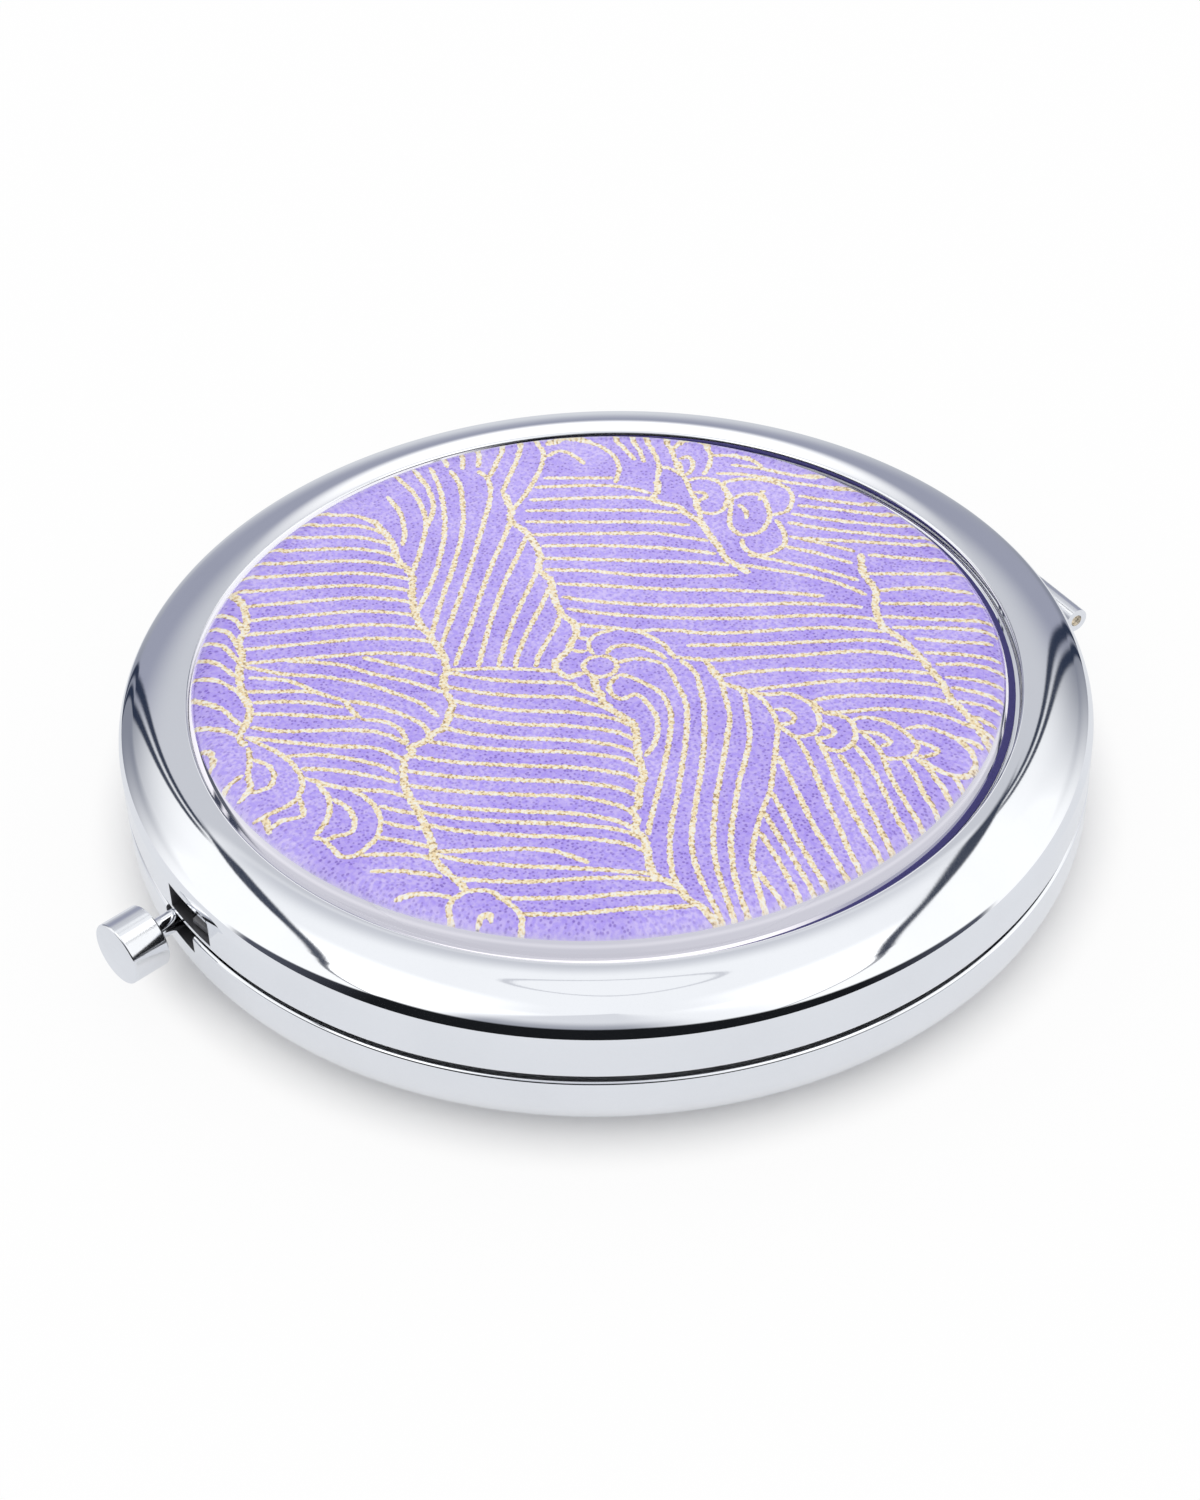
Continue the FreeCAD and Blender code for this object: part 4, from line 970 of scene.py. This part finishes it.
def smooth_run(spots):
    """Points along a smooth curve through the given ones."""
    spots = [2 * spots[0] - spots[1], *spots, 2 * spots[-1] - spots[-2]]
    run = []
    for before, start, end, after in zip(spots, spots[1:], spots[2:], spots[3:]):
        count = max(2, round((end - start).length / run_step))
        for index in range(count):
            t = index / count
            run.append((
                2 * start + (end - before) * t + (2 * before - 5 * start + 4 * end - after) * t ** 2
                + (3 * start - before - 3 * end + after) * t ** 3
            ) / 2)
    return run + [spots[-2]]


def ink_ribbons(strokes):
    """Vertices, faces and edge marks of ragged ribbons along the strokes, crowned in the middle."""
    vertices, faces, marks = [], [], []
    for number, spots in enumerate(strokes):
        run = smooth_run(spots)
        lift = paper_top + stroke_lift * (number % stroke_levels)
        width = spine_width if number < spines else ink_width
        last = None
        for index, spot in enumerate(run):
            if (print_turn @ spot - dome_middle.xy / MM).length > printed_radius:
                last = None
                continue
            along = (run[min(index + 1, len(run) - 1)] - run[max(index - 1, 0)]).normalized()
            aside = Vector((-along.y, along.x))
            taper = min(1, tip_width + tip_growth * min(index, len(run) - 1 - index))
            here = len(vertices)
            for side in (-1, 0, 1):
                rag = noise.noise(Vector((spot.x, spot.y, side_apart * side)) * rags_per_mm)
                ragged = 1 + raggedness * rag
                place = print_turn @ (spot + aside * (side * width / 2 * ragged * taper))
                vertices.append(Vector((place.x, place.y, lift + ink_height * (1 - abs(side)))) * MM)
                marks.append(float(abs(side)))
            if last is not None:
                faces += [[last, last + 1, here + 1, here], [last + 1, last + 2, here + 2, here + 1]]
            last = here
    return vertices, faces, marks


strokes = [pairs(flat) for flat in drawn] + far_left_field() + middle_field()
vertices, faces, marks = ink_ribbons(strokes)
wave_lines = finished_mesh("gold_wave_lines", vertices, [face[::-1] for face in faces])
wave_lines.data.attributes.new("ink_edge", "FLOAT", "POINT").data.foreach_set("value", marks)
gold_ink, wire = new_finish("gold_ink")
edge = wire.node("ShaderNodeAttribute", {"attribute_name": "ink_edge"}, {}, "Fac")
flakes = grain(wire, 4.4, 2.0)
bare = (edge * 0.4 + flakes * 2.8 - 1.7).step_up(0.0, 0.4)
leaf = flakes.step_up(0.36, 0.58).blend((1.0, 0.97, 0.84, 1), (0.96, 0.77, 0.4, 1))
coat(wire, {
    "Base Color": bare.blend(leaf, (0.42, 0.25, 0.08, 1)),
    "Roughness": 0.4 + flakes * 0.2,
    "Normal": relief(wire, flakes, 0.03),
})
dress(wave_lines, gold_ink, "lid", "purple_paper")

# Clear dome
# A low dome of clear resin over the paper, with a short upright edge, a round shoulder and a gentle crown.
# It is glued in by hand, so the gap to the tray wall is narrow on one side and wide on the other.
dome_foot = 10.08
shoulder_foot = 10.4
shoulder_radius = 2.6
shoulder_tilt, crown_tilt = math.radians(62), math.radians(1.2)
crown_radius = dome_radius - shoulder_radius * (math.sin(shoulder_tilt) - math.sin(crown_tilt))
crown_foot = shoulder_foot + shoulder_radius * (math.cos(crown_tilt) - math.cos(shoulder_tilt))
crown_arc = crown_radius / math.sin(crown_tilt)
crown_top = crown_foot + crown_arc * (1 - math.cos(crown_tilt))
clear_dome = turned("clear_dome_cast", [
    (0, dome_foot),
    (dome_radius, dome_foot),
    (dome_radius, shoulder_foot),
    (crown_radius, crown_foot, shoulder_radius, LEFT),
    (0, crown_top, crown_arc, LEFT),
], place=Matrix.Translation((dome_middle.x, dome_middle.y, 0)))
resin, wire = new_finish("clear_resin")
haze = grain(wire, 0.3, 3.0)
glass = wire.node("ShaderNodeBsdfPrincipled", {}, {
    "Base Color": (1, 1, 1, 1),
    "Roughness": 0.0,
    "IOR": 1.5,
    "Transmission Weight": 1.0,
    "Normal": relief(wire, haze, 0.0005),
})
clear = wire.node("ShaderNodeBsdfTransparent", {}, {"Color": (0.97, 0.97, 0.98, 1)})
shadow_ray = wire.node("ShaderNodeLightPath", {}, {}, "Is Shadow Ray")
diffuse_ray = wire.node("ShaderNodeLightPath", {}, {}, "Is Diffuse Ray")
thrown_back = wire.node("ShaderNodeLightPath", {}, {}, "Is Reflection Ray")
inside = wire.node("ShaderNodeNewGeometry", {}, {}, "Backfacing")
passes = shadow_ray.maths("MAXIMUM", shadow_ray, diffuse_ray)
# light that is thrown back inside the shoulder leaves the dome's edge as a pale glow
edge_glow = wire.node("ShaderNodeBsdfTransparent", {}, {"Color": (0.97, 0.94, 0.99, 1)})
lit_glass = wire.node("ShaderNodeMixShader", {}, {0: thrown_back * inside, 1: glass, 2: edge_glow})
surface = wire.node("ShaderNodeMixShader", {}, {0: passes, 1: lit_glass, 2: clear})
wire.node("ShaderNodeOutputMaterial", {}, {"Surface": surface})
dress(clear_dome, resin, "lid", "clear_resin", "clear_dome")

# Table
# A pale table under a soft white tent. Polished metal mirrors only the card in its middle, which reaches
# further to the front than to the back, and past that the foot of the tent's wall. From below, the table is
# not seen.
behind = Vector((-math.sin(print_angle), math.cos(print_angle), 0))
rightwards = Vector((math.cos(print_angle), math.sin(print_angle), 0))
table_radius = 400.0
table_drop = 0.02
card_back, card_back_turn = 46.5, -12
card_widening, card_half_turn = 31.5, 75
card_front, card_front_dip, card_dip_turn = 110, 36, 130
white_from, white_to, white_share = 34.4, 38.6, 0.87
mirror_from, mirror_to, mirror_share = 31, 40, 0.85
case_foot, case_foot_edge = 29, 30


def table_spot(turn, reach):
    """A place on the table, at a turn in degrees from straight behind the object."""
    aim = behind * math.cos(math.radians(turn)) + rightwards * math.sin(math.radians(turn))
    return (aim * reach - Vector((0, 0, table_drop))) * MM


table_turns = range(180, -180, -2)
card_edge = []
for turn in table_turns:
    back_reach = card_back + card_widening * (abs(turn - card_back_turn) / card_half_turn) ** 6
    front_reach = card_front - card_front_dip * math.cos(math.radians(turn - card_dip_turn))
    card_edge.append(table_spot(turn, min(back_reach, front_reach)))
table_edge = [table_spot(turn, table_radius) for turn in table_turns]
count = len(card_edge)
faces = [range(count)]
for index in range(count):
    following = (index + 1) % count
    faces.append([index, index + count, following + count, following])
floor = finished_mesh("floor", card_edge + table_edge, faces)
face_marks = [0.0] + [1.0] * count
floor.data.attributes.new("past_card", "FLOAT", "FACE").data.foreach_set("value", face_marks)
table, wire = new_finish("pale_table")
mottle = grain(wire, 0.01, 2.0)
paint = wire.node("ShaderNodeBsdfPrincipled", {}, {
    "Base Color": mottle.blend((0.965, 0.96, 0.96, 1), (0.98, 0.98, 0.98, 1)),
    "Roughness": 0.6,
    "Specular IOR Level": 0.2,
})
spot = wire.node("ShaderNodeTexCoord", {}, {}, "Object")
apart = wire.node("ShaderNodeVectorMath", {"operation": "LENGTH"}, {0: spot}, "Value") / MM
eye = wire.node("ShaderNodeLightPath", {}, {}, "Is Camera Ray")
gloss = wire.node("ShaderNodeLightPath", {}, {}, "Is Glossy Ray")
through = wire.node("ShaderNodeLightPath", {}, {}, "Is Transmission Ray")
mirrored = gloss.maths("MAXIMUM", gloss, through) * apart.step_up(mirror_from, mirror_to) * mirror_share
seen = eye.maths("MAXIMUM", eye * apart.step_up(white_from, white_to) * white_share, mirrored)
white = wire.node("ShaderNodeEmission", {}, {
    "Color": gloss.blend((1, 1, 1, 1), (0.76, 0.78, 0.82, 1)),
    "Strength": 1.0,
})
table_top = wire.node("ShaderNodeMixShader", {}, {0: seen, 1: paint, 2: white})
past_card = wire.node("ShaderNodeAttribute", {"attribute_name": "past_card"}, {}, "Fac")
under_case = 1 - apart.step_up(case_foot, case_foot_edge)
unmirrored = gloss * past_card.maths("MAXIMUM", past_card, under_case)
below = wire.node("ShaderNodeNewGeometry", {}, {}, "Backfacing")
left_out = below.maths("MAXIMUM", below, unmirrored)
clear = wire.node("ShaderNodeBsdfTransparent", {}, {"Color": (1, 1, 1, 1)})
surface = wire.node("ShaderNodeMixShader", {}, {0: left_out, 1: table_top, 2: clear})
wire.node("ShaderNodeOutputMaterial", {}, {"Surface": surface})
floor.data.materials.append(table)

# Tent
# The tent has a grey back sheet, lamps in its roof, dark seams and a dark room past the camera. Only polished
# metal shows it, and a plain white sky lights the rest. A turn is in degrees from straight behind the object
# and a rise in degrees over the table. Pairs are for the left and the right of the tent's middle.
tent_middle = -4.5
roof_foot = 45
peak_turns, peak_rises, roof_falls = (61.5, 72.5), (60.5, 63.0), (0.0088, 0.0072)
corner_turn, corner_bulges = 24, (9.0, 16.5)
glow_rise = 27
port_rise, port_turn_square, port_rise_square = 68, 240, 50
room_turns, room_slopes, room_height = (88, 97), (0.75, 0.4), 31.0
world = bpy.data.worlds.new("tent")
bpy.context.scene.world = world
world.use_nodes = True
world.node_tree.nodes.clear()
wire = Wire(world.node_tree)
sight = wire.node("ShaderNodeTexCoord", {}, {}, "Generated")


def along(axis):
    """How far the line of sight goes along an axis."""
    return wire.node("ShaderNodeVectorMath", {"operation": "DOT_PRODUCT"}, {0: sight, 1: axis}, "Value")


def by_side(sides):
    """One value to the left of the tent's middle, and another to the right."""
    left, right = sides
    return left + (right - left) * on_right


def line_at(distance, half_width, softness=1.0):
    """1 on a seam of the tent, and 0 beside it."""
    return 1 - distance.maths("ABSOLUTE", distance).step_up(half_width, half_width + softness)


ahead, height = along(behind), along((0, 0, 1))
turn = ahead.maths("ARCTAN2", along(rightwards), ahead) * math.degrees(1)
rise = height.maths("ARCSINE", height) * math.degrees(1)
around = turn.maths("ABSOLUTE", turn)
off_middle = turn - tent_middle
side = off_middle.maths("ABSOLUTE", off_middle)
on_right = off_middle.step_up(-1, 1)
from_peak = side - by_side(peak_turns)
over_edge = rise - by_side(peak_rises) + by_side(roof_falls) * from_peak * from_peak
level = rise.maths("MAXIMUM", rise, 0.0) / roof_foot
corner = side - corner_turn - by_side(corner_bulges) * (1 - level * level)
under_roof = 1 - rise.step_up(roof_foot - 1, roof_foot + 2)
back_sheet = (1 - corner.step_up(-2, 2)) * under_roof
over_glow = rise - glow_rise
glow_far = side.maths("SQRT", turn * turn + over_glow * over_glow)
back = side.step_up(4, 38).blend((0.7, 0.72, 0.76, 1), (0.24, 0.256, 0.32, 1))
back = rise.step_up(-6, 14).blend(back, (0.345, 0.36, 0.45, 1))
back = rise.step_up(22, 38).blend(back, (0.61, 0.625, 0.67, 1))
back = (1 - glow_far.step_up(7, 14)).blend(back, (1.2, 1.2, 1.2, 1))
side_light = side.step_up(40, 80) + rise.step_up(18, 48)
side_walls = side_light.blend((0.25, 0.265, 0.32, 1), (1.08, 1.09, 1.1, 1))
walls = back_sheet.blend(side_walls, back)
lamps = around.step_up(36, 60) * (1 - around.step_up(105, 160)) * (1 - rise.step_up(66, 84))
roof = lamps.blend((0.96, 0.975, 1.0, 1), (1.6, 1.6, 1.6, 1))
over_port = rise - port_rise
port = side.maths("SQRT", turn * turn / port_turn_square + over_port * over_port / port_rise_square)
roof = (line_at(port - 1, 0.01, 0.08) * 0.5).blend(roof, (0.32, 0.335, 0.4, 1))
roof_grey = (1 - side.step_up(8, 30)) * (1 - rise.step_up(47, 58))
roof = roof_grey.blend(roof, (0.625, 0.64, 0.69, 1))
overhead = around.step_up(138, 152) * (1 - on_right) + around.step_up(158, 180) * on_right
overhead_sheet = rise.step_up(34, 60).blend((0.36, 0.375, 0.425, 1), (0.745, 0.76, 0.8, 1))
roof = overhead.blend(roof, overhead_sheet)
off_back = side.step_up(20, 25)
is_wall = off_back * (1 - over_edge.step_up(-1, 1)) + under_roof * (1 - off_back)
tent = is_wall.blend(roof, walls)
seam_half = 0.45 + 1.1 * (1 - side.step_up(24, 44))
roof_seam = line_at(over_edge, seam_half) * side.step_up(20, 23) * (1 - side.step_up(80, 130) * 0.4)
corner_seams = line_at(corner + 1.3, 0.5) + line_at(corner - 1.9, 0.5)
seam = roof_seam.maths("MAXIMUM", roof_seam, corner_seams * under_roof)
tent = (seam * 0.96).blend(tent, (0.015, 0.025, 0.055, 1))
room_top = (around - by_side(room_turns)) * by_side(room_slopes)
over_room = rise - room_top.maths("MINIMUM", room_top, room_height)
dark_room = (1 - over_room.step_up(-3, 3)) * around.step_up(94, 101)
room_shade = around.step_up(98, 132).blend((0.088, 0.096, 0.128, 1), (0.01, 0.011, 0.013, 1))
tent = dark_room.blend(tent, room_shade)
in_metal = wire.node("ShaderNodeLightPath", {}, {}, "Is Glossy Ray")
sky = wire.node("ShaderNodeBackground", {}, {"Color": (1, 1, 1, 1), "Strength": 1.0})
tent_light = wire.node("ShaderNodeBackground", {}, {"Color": tent, "Strength": 1.0})
background = wire.node("ShaderNodeMixShader", {}, {0: in_metal, 1: sky, 2: tent_light})
wire.node("ShaderNodeOutputWorld", {}, {"Surface": background})

# Camera
# It stands at the front right, well above the table, and looks down at the case through a long lens. It is
# turned a little about its line of sight.
camera_spot = Vector((142.6, -87.4, 146.5)) * MM
camera_aim = Vector((-2.94, 1.23, 0.47)) * MM
camera_roll = math.radians(-1.984)
lens = bpy.data.cameras.new("camera")
lens.lens = 72
lens.sensor_width = 36
camera = bpy.data.objects.new("camera", lens)
bpy.context.scene.collection.objects.link(camera)
sight_line = (camera_aim - camera_spot).to_track_quat("-Z", "Y")
camera.location = camera_spot
camera.rotation_mode = "QUATERNION"
camera.rotation_quaternion = sight_line @ Quaternion((0, 0, 1), camera_roll)
bpy.context.scene.camera = camera
bpy.context.scene.view_settings.view_transform = "Standard"
